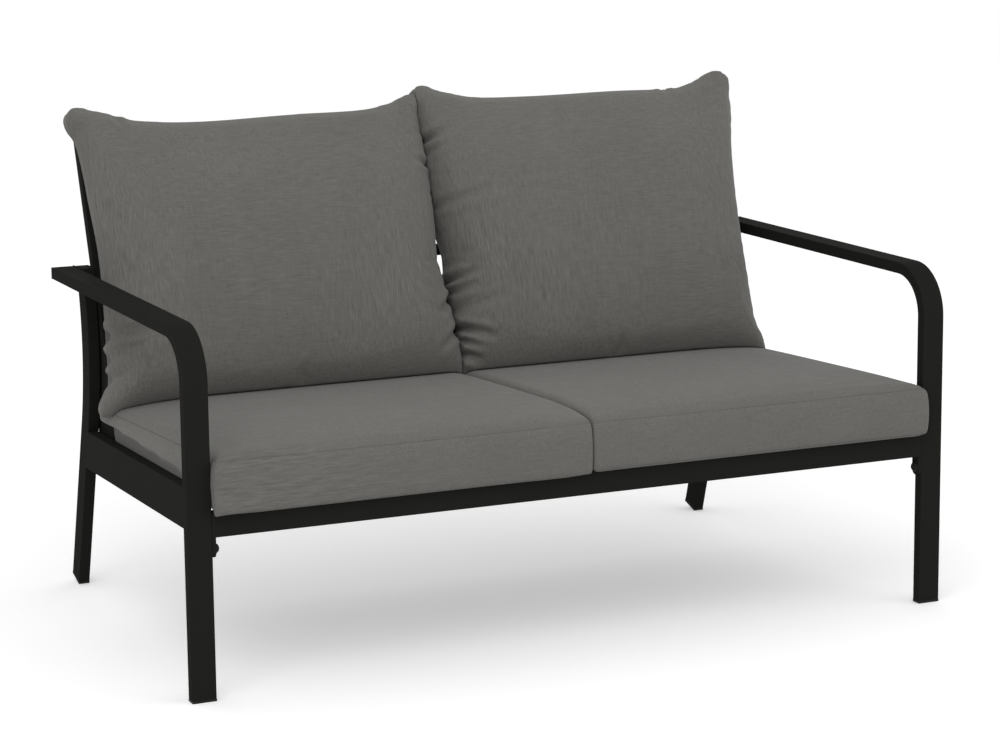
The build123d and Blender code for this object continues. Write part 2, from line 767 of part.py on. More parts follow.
def back_section(x, fullness, flatness, rise, inset):
    """Closed section through a back cushion at a place across its width."""
    seam = BACK_SEAM_DEEP
    rear = seam + (BACK_REST_CLEAR - seam) * flatness + inset
    front = seam + (BACK_FRONT_DEEP - seam) * fullness - inset
    base = seam + (BACK_BASE_DEEP - seam) * flatness - inset
    heel = rear + (BACK_BASE_HEEL - BACK_REST_CLEAR) * flatness
    top = BACK_TOP_RISE + BACK_EAR_RISE * rise - inset
    low_heel = base_rise(heel) + inset
    low_rear = low_heel + heel - rear
    low_front = base_rise(base) + inset
    flat_top = BACK_FLAT_TOP_RISE + BACK_EAR_RISE * rise - inset
    shoulder = seam + (BACK_SHOULDER_DEEP - seam) * fullness - inset
    shoulder_rise = top - BACK_SHOULDER_DROP
    middle = (low_front + shoulder_rise) / 2
    points = [(rear, low_rear), (rear, flat_top), (seam, top), (base, low_front), (heel, low_heel)]
    a, b, c, d, e = [Vector(x, -deep, high) for deep, high in points]
    bow = Vector(x, -(rear + (seam - rear) * 0.3), (flat_top + top) / 2 + (top - flat_top) * 0.12)
    brow = Vector(x, -(seam + (shoulder - seam) * 0.7), top - BACK_SHOULDER_DROP * 0.28)
    f = Vector(x, -shoulder, shoulder_rise)
    edges = [
        Edge.make_line(a, b),
        Edge.make_three_point_arc(b, bow, c),
        Edge.make_three_point_arc(c, brow, f),
        Edge.make_three_point_arc(f, Vector(x, -front, middle), d),
        Edge.make_line(d, e),
        Edge.make_line(e, a),
    ]
    return Face(Wire(edges))


def back_outline(inset):
    """Front view of a back cushion, its sides drawn in between the corners."""
    half = back_half_width - inset
    low = 0
    high = BACK_TOP_RISE + BACK_EAR_RISE + OVERRUN
    middle = (BACK_HEEL_RISE + BACK_TOP_RISE) / 2
    waist = half - BACK_SIDE_DRAW
    edges = [
        Line((-half, low), (half, low)),
        ThreePointArc((half, low), (waist, middle), (half, high)),
        Line((half, high), (-half, high)),
        ThreePointArc((-half, high), (-waist, middle), (-half, low)),
    ]
    return extrude(Plane.XZ * make_face(edges), amount=BACK_FRONT_DEEP + OVERRUN, dir=(0, -1, 0))


def back_form(inset):
    """Right back cushion's body, drawn upright about its own middle."""
    sections = []
    for i in range(-BACK_STATIONS, BACK_STATIONS + 1):
        place = sin(pi / 2 * i / BACK_STATIONS)
        fullness = 1 - (1 - BACK_EDGE_FULLNESS_share) * (1 - (1 - place**4) ** 0.5)
        flatness = 1 - (1 - BACK_EDGE_FLATNESS_share) * abs(place) ** 5
        rise = max(0, 1 - (1 - abs(place)) / BACK_EAR_WIDTH_share) ** 2
        x = (back_half_width - inset) * place
        sections.append(back_section(x, fullness, flatness, rise, inset))
    return loft(sections, ruled=True) & back_outline(inset)


def back_centre_x():
    """Middle of the right back cushion."""
    return CUSHION_GAP + back_half_width


def back_zip_place():
    """Middle of the zip on the sloping heel of the right back cushion."""
    deep = (BACK_REST_CLEAR + BACK_BASE_HEEL) / 2
    rise = BACK_HEEL_RISE + (BACK_BASE_HEEL - BACK_REST_CLEAR) / 2
    return Location((back_centre_x(), -deep, rise), (-135, 0, 0))


def placed_back(shape):
    """Put a shape drawn about the back cushion's middle in its place on the back."""
    return leaned(Pos(back_centre_x(), 0, BACK_SEAT_CLEAR) * shape)


def seat_parts():
    """Cover, core, zip and slider of the right seat cushion."""
    place = seat_zip_place()
    bed = place * zip_bar(SEAT_ZIP_LONG, ZIP_BED)
    cover = seat_form(0) - seat_form(COVER_THICK) - bed
    return {
        "seat_cushion": cover,
        "seat_foam": seat_form(COVER_THICK + CORE_CLEAR),
        "seat_zip": place * zip_bar(SEAT_ZIP_LONG, 0),
        "seat_zip_slider": place * slider(SEAT_ZIP_LONG),
    }


def back_parts():
    """Cover, filling, zip and slider of the right back cushion."""
    lift = Pos(0, 0, BACK_SEAT_CLEAR)
    place = leaned(lift * Location((0, 0, 0))) * back_zip_place()
    bed = place * zip_bar(BACK_ZIP_LONG, ZIP_BED)
    cover = placed_back(back_form(0) - back_form(COVER_THICK)) - bed
    return {
        "back_cushion": cover,
        "back_filling": placed_back(back_form(COVER_THICK + CORE_CLEAR) & back_form(COVER_THICK)),
        "back_zip": place * zip_bar(BACK_ZIP_LONG, 0),
        "back_zip_slider": place * slider(BACK_ZIP_LONG),
    }


def side_parts():
    """Pieces of the right side that the left side has in mirror image."""
    parts = {
        "arm_leg": arm_leg(),
        "rear_leg": rear_leg(),
        "side_rail": side_rail(),
        "arm_link": arm_link(),
        "back_stile": stile(),
    }
    parts.update(seat_parts())
    parts.update(back_parts())
    return parts


def shared_parts():
    """Pieces that cross the middle, and groups of like pieces."""
    right = {
        "front_tabs": [tab()],
        "stile_foot_plates": [foot_plate()],
        "frame_bolts": [bolt(*fixing) for fixing in fixings()],
        "frame_nuts": [nut(*fixing) for fixing in fixings()],
        "stile_spacers": [spacer()],
        "front_feet": [front_foot()],
        "rear_feet": [rear_foot()],
        "arm_end_plugs": [arm_plug()],
        "stile_top_plugs": [stile_plug()],
    }
    parts = {name: group(found + [mirrored(one) for one in found]) for name, found in right.items()}
    parts["front_rail"] = front_rail()
    parts["rear_rail"] = rear_rail()
    parts["seat_slats"] = seat_slats()
    parts["centre_bearer"] = slat(0, CENTRE_BEARER_WIDE, CENTRE_BEARER_TALL)
    parts["back_top_rail"] = top_rail()
    parts["back_cross_rail"] = cross_rail()
    parts["back_lower_rail"] = lower_rail()
    parts["back_slats"] = back_slats()
    return parts


def loveseat():
    """Every node by name, before it is moved to its own origin."""
    parts = {}
    for name, shape in side_parts().items():
        parts[name + "_right"] = shape
        parts[name + "_left"] = mirrored(shape)
    parts.update(shared_parts())
    return parts


def main():
    os.makedirs("parts", exist_ok=True)
    parts = loveseat()
    whole = Compound(children=[solid for shape in parts.values() for solid in shape.solids()])
    box = whole.bounding_box()
    shift = Pos(0, -(box.min.Y + box.max.Y) / 2, -box.min.Z)
    for name, shape in parts.items():
        export_step(shift * Compound(children=list(shape.solids())), f"parts/{name}.step")
    print("size", box.size, "shift", -(box.min.Y + box.max.Y) / 2, -box.min.Z)


main()
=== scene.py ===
"""Dresses the frame of a patio loveseat: powder-coated tubes, welds, cushions, zips and the studio."""

import math
import random

import bmesh
import bpy
import numpy as np
from mathutils import Matrix, Vector
from mathutils.bvhtree import BVHTree
from mathutils.kdtree import KDTree


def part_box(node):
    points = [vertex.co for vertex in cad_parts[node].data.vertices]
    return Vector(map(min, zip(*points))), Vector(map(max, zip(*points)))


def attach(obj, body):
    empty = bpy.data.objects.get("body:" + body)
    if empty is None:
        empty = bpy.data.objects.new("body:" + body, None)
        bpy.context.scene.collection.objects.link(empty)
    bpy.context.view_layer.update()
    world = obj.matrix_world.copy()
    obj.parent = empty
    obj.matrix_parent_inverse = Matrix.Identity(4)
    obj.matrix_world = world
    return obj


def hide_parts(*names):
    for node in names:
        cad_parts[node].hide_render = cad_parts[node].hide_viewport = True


bl_info = {
    "name": "Patio Loveseat",
    "version": (1, 0, 0),
    "blender": (4, 5, 0),
    "location": "3D View > Sidebar > Loveseat",
    "description": "Cushions, finishes and studio for a two-seat outdoor sofa",
    "category": "Object",
}

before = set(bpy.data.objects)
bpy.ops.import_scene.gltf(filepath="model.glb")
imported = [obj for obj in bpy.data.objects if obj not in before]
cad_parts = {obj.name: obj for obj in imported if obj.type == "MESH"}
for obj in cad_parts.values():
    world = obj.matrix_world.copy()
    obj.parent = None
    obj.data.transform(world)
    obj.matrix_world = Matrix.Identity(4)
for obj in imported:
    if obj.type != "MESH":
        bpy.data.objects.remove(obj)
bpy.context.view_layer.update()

# Places read from the frame, in metres
SIDES = {"left": -1.0, "right": 1.0}
FRONT_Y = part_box("front_rail")[0][1]
RAIL_BACK_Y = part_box("front_rail")[1][1]
DECK_FRONT_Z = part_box("front_rail")[1][2]
DECK_BACK_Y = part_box("rear_rail")[0][1]
DECK_BACK_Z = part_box("rear_rail")[1][2]
SEAT_FRONT_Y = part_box("seat_cushion_right")[0][1]
PLATE_TOP_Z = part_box("stile_foot_plates")[1][2]
FOOT_Y = (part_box("stile_foot_plates")[0][1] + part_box("stile_foot_plates")[1][1]) / 2
BACK_LEAN = math.radians(20.0)
SEAT_RAKE = math.atan2(DECK_FRONT_Z - DECK_BACK_Z, DECK_BACK_Y - RAIL_BACK_Y)
STILE_FRONT_Y = FOOT_Y - 0.01 / math.cos(BACK_LEAN)
SLAT_COUNT = 8

# Where the loose cushions lean together in the photograph, off the middle of the frame
PARTING_X = 0.007
SEAT_PARTING_X = 0.006

# Seat cushion: its grid, its clearances, its narrowing per length and how the side rails climb beside it
SEAT_GRID = (96, 90, 17)
SEAT_HALF_GAP = 0.0004
SEAT_SIDE_CLEAR = 0.001
SEAT_FRONT_CLEAR = 0.003
SEAT_REAR_CLEAR = 0.0135
SEAT_BACK_PLANE = 0.0107
SEAT_LIFT = 0.0008
SEAT_TAPER = 0.039
RAIL_CLEAR = 0.0025
RAIL_CLIMB = 0.0285
RAIL_FADE = 0.002

# Seat cushion: how far seams draw in and sides bulge, how low the nose hangs before the front rail, how far
# the left one's front corner is filled out and down, and how square the corners are at the sides and inside
SEAT_SEW = 0.004
SEAT_SWELL = 0.003
NOSE_START = 0.002
NOSE_FREE = 0.0015
NOSE_FADE = 0.010
SEAT_DROOP = {"left": 0.0065, "right": 0.002}
SEAT_HEEL = {"left": 1.0, "right": 0.0}
HEEL_OUT = 0.005
HEEL_DOWN = 0.0025
CORNER_OUT = 0.010
CORNER_IN = -0.003
RIM_POWER = 60

# Back cushion: its grid and even mesh, its base and seam, its ears and the planes that flatten it
BACK_GRID = (96, 88)
BACK_VOXEL = 0.0065
BACK_LOW = 0.050
SEAM_AHEAD = 0.050
SEAM_SAG = 0.016
EAR_SPAN = 0.17
EAR_FRONT = 0.022
EAR_REAR = 0.016
BACK_REST = 0.0015
BACK_LIFT = 0.0008
BACK_HALF_GAP = 0.0006
ZIP_PLANE = (0.0142, 0.1057)

# How far clear of the seat a back cushion's front edge is, from where to where that grows, and the rise
# over the deck below which a back cushion can meet the seat
REST_GAP = 0.0004
REST_CLEAR = 0.009
REST_AHEAD = -0.060
REST_FADE = 0.030
REST_RISE = 0.12

# Folds have a low bank on either side, this high and this many widths away
BANK_HIGH = 0.45
BANK_AWAY = 1.9

# Gathers along each side of a back cushion, between these rises, and the seeds of their draws
GATHERS = 11
GATHER_SEEDS = {"left": 11, "right": 12}
GATHER_LOW = 0.10
GATHER_HIGH = 0.56

# Seams: steps along a side, and how wide and deep they draw the cloth in
SEAT_SEAM_STEPS = 110
BACK_SEAM_STEPS = 90
SEAT_GROOVE = (0.0026, 0.0009)
BACK_GROOVE = (0.0028, 0.0014)

# Small forms, half sizes and pitches
STITCH = (0.00035, 0.00035, 0.0013)
STITCH_PITCH = 0.0036
STITCH_PROUD = 0.0002
TOOTH = (0.0012, 0.0012, 0.0006)
TOOTH_PITCH = 0.0022
TOOTH_PROUD = 0.0012
TOOTH_ASIDE = 0.0009
ZIP_END = 0.004
BEAD = 0.0014
BEAD_PITCH = 0.0022
TAB_WELD_INSET = 0.004
SLAT_THICK = 0.012

# Edges of the back cushions: rises of the top by width share, then widths of the side at the viewer's left
# and of the side at the right by rise share
BACK_EDGES = {
    "left": (
        ((0, 0.592), (0.045, 0.603), (0.12, 0.594), (0.2, 0.578), (0.36, 0.570), (0.62, 0.573),
         (0.82, 0.575), (0.9, 0.584), (0.96, 0.596), (1, 0.596)),
        ((0, -0.660), (0.05, -0.656), (0.1, -0.637), (0.2, -0.631), (0.5, -0.624), (0.72, -0.630),
         (0.88, -0.638), (0.95, -0.652), (1, -0.660)),
        ((0, 0.024), (0.06, 0.018), (0.14, 0.012), (0.3, 0.007), (0.42, 0.002), (0.54, 0.010),
         (0.75, 0.017), (0.9, 0.020), (1, 0.026)),
    ),
    "right": (
        ((0, 0.599), (0.045, 0.612), (0.12, 0.599), (0.2, 0.588), (0.36, 0.584), (0.62, 0.585),
         (0.82, 0.585), (0.88, 0.594), (0.955, 0.611), (1, 0.600)),
        ((0, -0.010), (0.06, -0.006), (0.14, 0.000), (0.3, 0.006), (0.42, 0.012), (0.54, 0.004),
         (0.7, 0.000), (0.85, 0.000), (1, -0.008)),
        ((0, 0.640), (0.06, 0.628), (0.1, 0.618), (0.2, 0.615), (0.5, 0.626), (0.72, 0.642),
         (0.9, 0.663), (1, 0.664)),
    ),
}

# How far in front of the back frame a back cushion's fullest line is, by rise share
BACK_DEPTHS = (
    (0.0, 0.116), (0.08, 0.134), (0.25, 0.146), (0.5, 0.145), (0.75, 0.130), (0.9, 0.108), (1.0, 0.094)
)

# Soft folds on the back cushions' faces: start and end by width and rise, width and depth
BACK_FOLDS = {
    "left": [
        (-0.640, 0.196, -0.520, 0.176, 0.010, 0.009),
        (-0.640, 0.150, -0.560, 0.168, 0.008, 0.006),
        (-0.660, 0.112, -0.610, 0.122, 0.008, 0.009),
        (0.010, 0.452, -0.035, 0.462, 0.006, 0.006),
        (0.012, 0.210, -0.040, 0.165, 0.007, 0.007),
        (0.014, 0.150, -0.050, 0.100, 0.007, 0.006),
        (-0.560, 0.575, -0.545, 0.535, 0.007, 0.004),
    ],
    "right": [
        (0.000, 0.497, 0.055, 0.520, 0.007, 0.010),
        (0.005, 0.475, 0.040, 0.490, 0.006, 0.005),
        (0.008, 0.375, 0.120, 0.395, 0.009, 0.005),
        (0.005, 0.238, 0.060, 0.246, 0.006, 0.010),
        (0.005, 0.215, 0.050, 0.222, 0.006, 0.006),
        (0.005, 0.180, 0.100, 0.196, 0.009, 0.005),
        (0.000, 0.150, 0.070, 0.118, 0.007, 0.013),
        (0.004, 0.128, 0.036, 0.104, 0.005, 0.008),
        (0.000, 0.100, 0.045, 0.080, 0.007, 0.010),
        (0.645, 0.118, 0.600, 0.126, 0.007, 0.007),
        (0.520, 0.590, 0.510, 0.550, 0.007, 0.004),
    ],
}

# Nodes of the frame by finish
FINISHES = {
    "Black powder coat": (
        "arm_leg_left arm_leg_right rear_leg_left rear_leg_right side_rail_left side_rail_right"
        " arm_link_left arm_link_right back_stile_left back_stile_right back_top_rail back_cross_rail"
        " back_lower_rail back_slats front_rail rear_rail seat_slats centre_bearer front_tabs"
        " stile_foot_plates"
    ),
    "Blackened steel": "frame_bolts frame_nuts stile_spacers",
    "Black moulded plastic": "front_feet rear_feet arm_end_plugs stile_top_plugs",
    "Zip metal": "seat_zip_slider_left seat_zip_slider_right back_zip_slider_left back_zip_slider_right",
    "Zip tape": "seat_zip_left seat_zip_right back_zip_left back_zip_right",
}

# Lamps: name, place, size and power, and the point all of them face
LAMPS = (
    ("Key lamp", (-2.6, -3.2, 4.2), 3.2, 60.0),
    ("Fill lamp", (3.4, -3.0, 2.6), 3.5, 25.0),
)
LAMP_AIM = (0.0, 0.0, 0.4)
FLOOR_REACH = 40.0


def settings():
    """The loveseat's settings on the scene."""
    return bpy.context.scene.loveseat


def leaned(x, ahead, up):
    """A point given by its width, its distance ahead of the back frame and its rise up the lean."""
    y = STILE_FRONT_Y - ahead * math.cos(BACK_LEAN) + up * math.sin(BACK_LEAN)
    z = PLATE_TOP_Z + ahead * math.sin(BACK_LEAN) + up * math.cos(BACK_LEAN)
    return Vector((x, y, z))


def raked(x, behind, up):
    """A point given by its width, its distance behind the front rail and its rise off the deck."""
    y = RAIL_BACK_Y + behind * math.cos(SEAT_RAKE) + up * math.sin(SEAT_RAKE)
    z = DECK_FRONT_Z - behind * math.sin(SEAT_RAKE) + up * math.cos(SEAT_RAKE)
    return Vector((x, y, z))


# Ways off the back frame, up its lean and off the deck
AHEAD = leaned(0, 1, 0) - leaned(0, 0, 0)
RISE = leaned(0, 0, 1) - leaned(0, 0, 0)
OFF_DECK = raked(0, 0, 1) - raked(0, 0, 0)


# Shader groups and materials


def new_group(name, inputs, outputs):
    """An empty shader group with its sockets, its input node and its output node."""
    group = bpy.data.node_groups.new(name, "ShaderNodeTree")
    for title, kind, value in inputs:
        socket = group.interface.new_socket(name=title, in_out="INPUT", socket_type=kind)
        if value is not None:
            socket.default_value = value
    for title, kind in outputs:
        group.interface.new_socket(name=title, in_out="OUTPUT", socket_type=kind)
    start = group.nodes.new("NodeGroupInput")
    end = group.nodes.new("NodeGroupOutput")
    return group, start, end


def set_inputs(node, **values):
    """Set a node's inputs, each named by its title with underscores."""
    for title, value in values.items():
        node.inputs[title.replace("_", " ")].default_value = value


def math_node(tree, operation, first, second):
    """A Math node fed by sockets or plain numbers."""
    node = tree.nodes.new("ShaderNodeMath")
    node.operation = operation
    for socket, value in zip(node.inputs, (first, second)):
        if isinstance(value, (int, float)):
            socket.default_value = value
        else:
            tree.links.new(value, socket)
    return node.outputs[0]


def stretched_noise(tree, vector, scale, detail, roughness=0.5):
    """Noise drawn out along one direction, as threads are."""
    mapping = tree.nodes.new("ShaderNodeMapping")
    mapping.vector_type = "POINT"
    mapping.inputs["Scale"].default_value = scale
    tree.links.new(vector, mapping.inputs["Vector"])
    texture = tree.nodes.new("ShaderNodeTexNoise")
    set_inputs(texture, Scale=1.0, Detail=detail, Roughness=roughness)
    tree.links.new(mapping.outputs[0], texture.inputs["Vector"])
    return texture.outputs["Fac"]


def spread(tree, value, **marks):
    """Value spread between marks, from zero to one where no mark says otherwise."""
    node = tree.nodes.new("ShaderNodeMapRange")
    set_inputs(node, **marks)
    tree.links.new(value, node.inputs["Value"])
    return node.outputs[0]


def slub_weave_group():
    """Slubby plain weave: tint and height from a position with its second axis along the warp."""
    inputs = [
        ("Position", "NodeSocketVector", None),
        ("Streaks", "NodeSocketFloat", 0.22),
        ("Picks", "NodeSocketFloat", 0.16),
        ("Mottle", "NodeSocketFloat", 0.05),
    ]
    outputs = [("Tint", "NodeSocketFloat"), ("Height", "NodeSocketFloat")]
    tree, start, end = new_group("Slub weave", inputs, outputs)
    position = start.outputs["Position"]
    warp = stretched_noise(tree, position, (420.0, 30.0, 420.0), detail=3.0, roughness=0.6)
    weft = stretched_noise(tree, position, (42.0, 520.0, 520.0), detail=3.0, roughness=0.6)
    cloud = stretched_noise(tree, position, (7.0, 5.0, 7.0), detail=4.0, roughness=0.55)
    threads = stretched_noise(tree, position, (1500.0, 1500.0, 1500.0), detail=1.0)
    region = stretched_noise(tree, position, (3.1, 2.3, 3.1), detail=1.0)
    patch = spread(tree, region, From_Min=0.38, From_Max=0.62)
    shares = (
        (warp, "Streaks", math_node(tree, "ADD", patch, 0.25)),
        (weft, "Picks", math_node(tree, "SUBTRACT", 1.25, patch)),
        (cloud, "Mottle", 1.0),
    )
    tint = 0.0
    for noise, amount, where in shares:
        part = math_node(tree, "SUBTRACT", noise, 0.5)
        part = math_node(tree, "MULTIPLY", part, start.outputs[amount])
        tint = math_node(tree, "ADD", tint, math_node(tree, "MULTIPLY", part, where))
    tint = math_node(tree, "ADD", math_node(tree, "MULTIPLY", tint, 4.0), 1.0)
    tree.links.new(tint, end.inputs["Tint"])
    high = math_node(tree, "ADD", warp, weft)
    high = math_node(tree, "ADD", high, math_node(tree, "MULTIPLY", threads, 0.7))
    tree.links.new(high, end.inputs["Height"])


def fine_grain_group():
    """Fine even grain of a coated or moulded surface: a mask and a height."""
    inputs = [("Position", "NodeSocketVector", None), ("Size", "NodeSocketFloat", 900.0)]
    outputs = [("Mask", "NodeSocketFloat"), ("Height", "NodeSocketFloat")]
    tree, start, end = new_group("Fine grain", inputs, outputs)
    for title, scale, detail in (("Height", 1.0, 2.0), ("Mask", 9.0, 3.0)):
        texture = tree.nodes.new("ShaderNodeTexNoise")
        set_inputs(texture, Scale=scale, Detail=detail)
        tree.links.new(start.outputs["Position"], texture.inputs["Vector"])
        tree.links.new(texture.outputs["Fac"], end.inputs[title])
        if title == "Height":
            tree.links.new(start.outputs["Size"], texture.inputs["Scale"])


def new_material(name):
    """A new material's tree and its Principled shader."""
    material = bpy.data.materials.new(name)
    material.use_nodes = True
    return material.node_tree, material.node_tree.nodes["Principled BSDF"]


def bump(tree, height, strength, distance, shader):
    """Lay a height on the shader's normal."""
    node = tree.nodes.new("ShaderNodeBump")
    set_inputs(node, Strength=strength, Distance=distance)
    tree.links.new(height, node.inputs["Height"])
    tree.links.new(node.outputs["Normal"], shader.inputs["Normal"])


def tinted(tree, colour, tint):
    """A colour made lighter or darker by a tint round one."""
    node = tree.nodes.new("ShaderNodeMix")
    node.data_type = "RGBA"
    node.blend_type = "MULTIPLY"
    set_inputs(node, Factor=1.0, A=(*colour, 1.0))
    tree.links.new(tint, node.inputs["B"])
    return node.outputs["Result"]


def cloth_material(name, turn):
    """Woven cushion cloth, its warp turned to run up the back or across the seat."""
    tree, shader = new_material(name)
    mapping = tree.nodes.new("ShaderNodeMapping")
    mapping.vector_type = "POINT"
    mapping.inputs["Rotation"].default_value = turn
    place = tree.nodes.new("ShaderNodeTexCoord")
    tree.links.new(place.outputs["Object"], mapping.inputs["Vector"])
    weave = tree.nodes.new("ShaderNodeGroup")
    weave.node_tree = bpy.data.node_groups["Slub weave"]
    tree.links.new(mapping.outputs[0], weave.inputs["Position"])
    colour = tinted(tree, settings().cloth_colour, weave.outputs["Tint"])
    tree.links.new(colour, shader.inputs["Base Color"])
    set_inputs(shader, Roughness=0.95, Specular_IOR_Level=0.15, Sheen_Weight=0.12, Sheen_Roughness=0.5)
    bump(tree, weave.outputs["Height"], 0.35, 0.0006, shader)


def grained_material(name, colour, roughness, size, metallic=0.0, gloss=0.5, ior=1.5):
    """Coated metal or moulded plastic with a fine grain and slight unevenness."""
    tree, shader = new_material(name)
    grain = tree.nodes.new("ShaderNodeGroup")
    grain.node_tree = bpy.data.node_groups["Fine grain"]
    grain.inputs["Size"].default_value = size
    place = tree.nodes.new("ShaderNodeTexCoord")
    tree.links.new(place.outputs["Object"], grain.inputs["Position"])
    set_inputs(shader, Metallic=metallic, Specular_IOR_Level=gloss, IOR=ior)
    mask = grain.outputs["Mask"]
    shade = spread(tree, mask, To_Min=0.92, To_Max=1.08)
    tree.links.new(tinted(tree, colour, shade), shader.inputs["Base Color"])
    rough = spread(tree, mask, To_Min=roughness - 0.06, To_Max=roughness + 0.06)
    tree.links.new(rough, shader.inputs["Roughness"])
    bump(tree, grain.outputs["Height"], 0.15, 0.0003, shader)


def make_materials():
    """Every finish of the loveseat, by name."""
    slub_weave_group()
    fine_grain_group()
    paint = settings().paint_colour
    grained_material("Black powder coat", paint, roughness=0.6, size=1400.0, gloss=0.3, ior=1.04)
    grained_material("Black moulded plastic", (0.008, 0.008, 0.008), roughness=0.6, size=700.0, gloss=0.25)
    steel = (0.014, 0.014, 0.013)
    grained_material("Blackened steel", steel, roughness=0.5, size=900.0, gloss=0.3, ior=1.2)
    grained_material("Zip metal", (0.06, 0.06, 0.062), roughness=0.35, size=900.0, metallic=1.0)
    cloth_material("Back cloth", (BACK_LEAN - math.pi / 2, 0.0, 0.0))
    cloth_material("Seat cloth", (0.0, 0.0, math.pi / 2))
    grained_material("Seam thread", (0.085, 0.083, 0.078), roughness=0.9, size=900.0)
    grained_material("Zip tape", (0.07, 0.069, 0.066), roughness=0.9, size=1500.0)


# Meshes


def new_piece(name, vertices, faces, material, smooth=True):
    """A mesh object whose place is in its mesh."""
    mesh = bpy.data.meshes.new(name)
    mesh.from_pydata([tuple(v) for v in vertices], [], faces)
    mesh.validate()
    piece = bpy.data.objects.new(name, mesh)
    bpy.context.scene.collection.objects.link(piece)
    piece.data.materials.append(bpy.data.materials[material])
    for polygon in mesh.polygons:
        polygon.use_smooth = smooth
    return piece


def applied(piece):
    """Turn a piece's modifiers into its mesh."""
    depsgraph = bpy.context.evaluated_depsgraph_get()
    mesh = bpy.data.meshes.new_from_object(piece.evaluated_get(depsgraph), depsgraph=depsgraph)
    old = piece.data
    piece.modifiers.clear()
    piece.data = mesh
    bpy.data.meshes.remove(old)
    return piece


def shell_grid(across, around, place):
    """Closed skin of a pillow: a front and a back sheet of one grid, joined round the rim."""
    vertices, rows = [], {}
    for face in (1, -1):
        for j in range(around + 1):
            for i in range(across + 1):
                rim = i in (0, across) or j in (0, around)
                if rim and face < 0:
                    rows[face, i, j] = rows[1, i, j]
                    continue
                rows[face, i, j] = len(vertices)
                u = math.sin(math.pi / 2 * (-1.0 + 2.0 * i / across))
                v = math.sin(math.pi / 2 * (-1.0 + 2.0 * j / around))
                vertices.append(place(u, v, face))
    faces = []
    for face in (1, -1):
        for j in range(around):
            for i in range(across):
                corners = [(i, j), (i + 1, j), (i + 1, j + 1), (i, j + 1)]
                ring = [rows[face, a, b] for a, b in corners]
                faces.append(ring if face > 0 else ring[::-1])
    return vertices, faces


def boxed_skin(across, deep, high, place):
    """Closed skin of a box: a top and a base grid with rows of wall between their rims."""
    vertices, spot = [], {}

    def corner(i, j, k):
        if (i, j, k) not in spot:
            spot[i, j, k] = len(vertices)
            vertices.append(place(-1.0 + 2.0 * i / across, -1.0 + 2.0 * j / deep, -1.0 + 2.0 * k / high))
        return spot[i, j, k]

    faces = []
    for k in (0, high):
        for j in range(deep):
            for i in range(across):
                ring = ((i, j), (i + 1, j), (i + 1, j + 1), (i, j + 1))
                faces.append([corner(m, n, k) for m, n in ring])
    around = [(i, 0) for i in range(across)] + [(across, j) for j in range(deep)]
    around += [(across - i, deep) for i in range(across)] + [(0, deep - j) for j in range(deep)]
    for k in range(high):
        for (i, j), (m, n) in zip(around, around[1:] + around[:1]):
            faces.append([corner(i, j, k), corner(m, n, k), corner(m, n, k + 1), corner(i, j, k + 1)])
    return vertices, faces


def eased_curve(points, share):
    """Height at a share along a smooth curve through points given as share and height."""
    last = len(points) - 1
    i = 0
    while i < last - 1 and share > points[i + 1][0]:
        i += 1
    (x1, p1), (x2, p2) = points[i], points[i + 1]
    before, after = points[max(i - 1, 0)], points[min(i + 2, last)]
    wide = x2 - x1
    slope1 = (p2 - before[1]) / (x2 - before[0]) * wide
    slope2 = (after[1] - p1) / (after[0] - x1) * wide
    t = min(max((share - x1) / wide, 0.0), 1.0)
    blend = 3 * t**2 - 2 * t**3
    return p1 + (p2 - p1) * blend + slope1 * (t - 2 * t**2 + t**3) + slope2 * (t**3 - t**2)


def remeshed(piece, voxel):
    """Give a closed form an even mesh."""
    remesh = piece.modifiers.new("Remesh", "REMESH")
    remesh.mode = "VOXEL"
    remesh.voxel_size = voxel
    applied(piece)


def puffed(piece, pressure, frames, reach, swell_way, hold):
    """Let air pressure puff a closed cloth form, held back sideways, and keep it near where it began."""
    start = coordinates(piece.data)
    cloth = piece.modifiers.new("Cloth", "CLOTH")
    cloth.settings.quality = 4
    cloth.settings.mass = 0.35
    cloth.settings.use_pressure = True
    cloth.settings.uniform_pressure_force = pressure
    cloth.settings.tension_stiffness = 12.0
    cloth.settings.compression_stiffness = 12.0
    cloth.settings.shear_stiffness = 6.0
    cloth.settings.bending_stiffness = 0.6
    cloth.settings.effector_weights.gravity = 0.0
    cloth.collision_settings.use_collision = False
    cloth.point_cache.frame_start = 1
    cloth.point_cache.frame_end = frames
    scene = bpy.context.scene
    for number in range(1, frames + 1):
        scene.frame_set(number)
    depsgraph = bpy.context.evaluated_depsgraph_get()
    blown = piece.evaluated_get(depsgraph)
    end = coordinates(blown.to_mesh())
    blown.to_mesh_clear()
    piece.modifiers.clear()
    move = end - start
    way = np.array(swell_way.normalized())
    straight = np.outer(move @ way, way)
    move = straight + (move - straight) * (1.0 - hold)
    length = np.linalg.norm(move, axis=1, keepdims=True)
    move *= np.minimum(1.0, reach / np.maximum(length, 1e-9))
    set_coordinates(piece.data, start + move)
    scene.frame_set(1)


def coordinates(mesh):
    """Places of a mesh's vertices as rows."""
    flat = np.empty(len(mesh.vertices) * 3)
    mesh.vertices.foreach_get("co", flat)
    return flat.reshape(-1, 3)


def normals(mesh):
    """Outward directions at a mesh's vertices as rows."""
    flat = np.empty(len(mesh.vertices) * 3)
    mesh.vertex_normals.foreach_get("vector", flat)
    return flat.reshape(-1, 3)


def set_coordinates(mesh, rows):
    """Put a mesh's vertices at the given rows."""
    mesh.vertices.foreach_set("co", np.ascontiguousarray(rows).reshape(-1))
    mesh.update()


def refined(piece):
    """Subdivide a piece once and shade it smooth."""
    subdivision = piece.modifiers.new("Subdivision", "SUBSURF")
    subdivision.levels = subdivision.render_levels = 1
    applied(piece)
    for polygon in piece.data.polygons:
        polygon.use_smooth = True


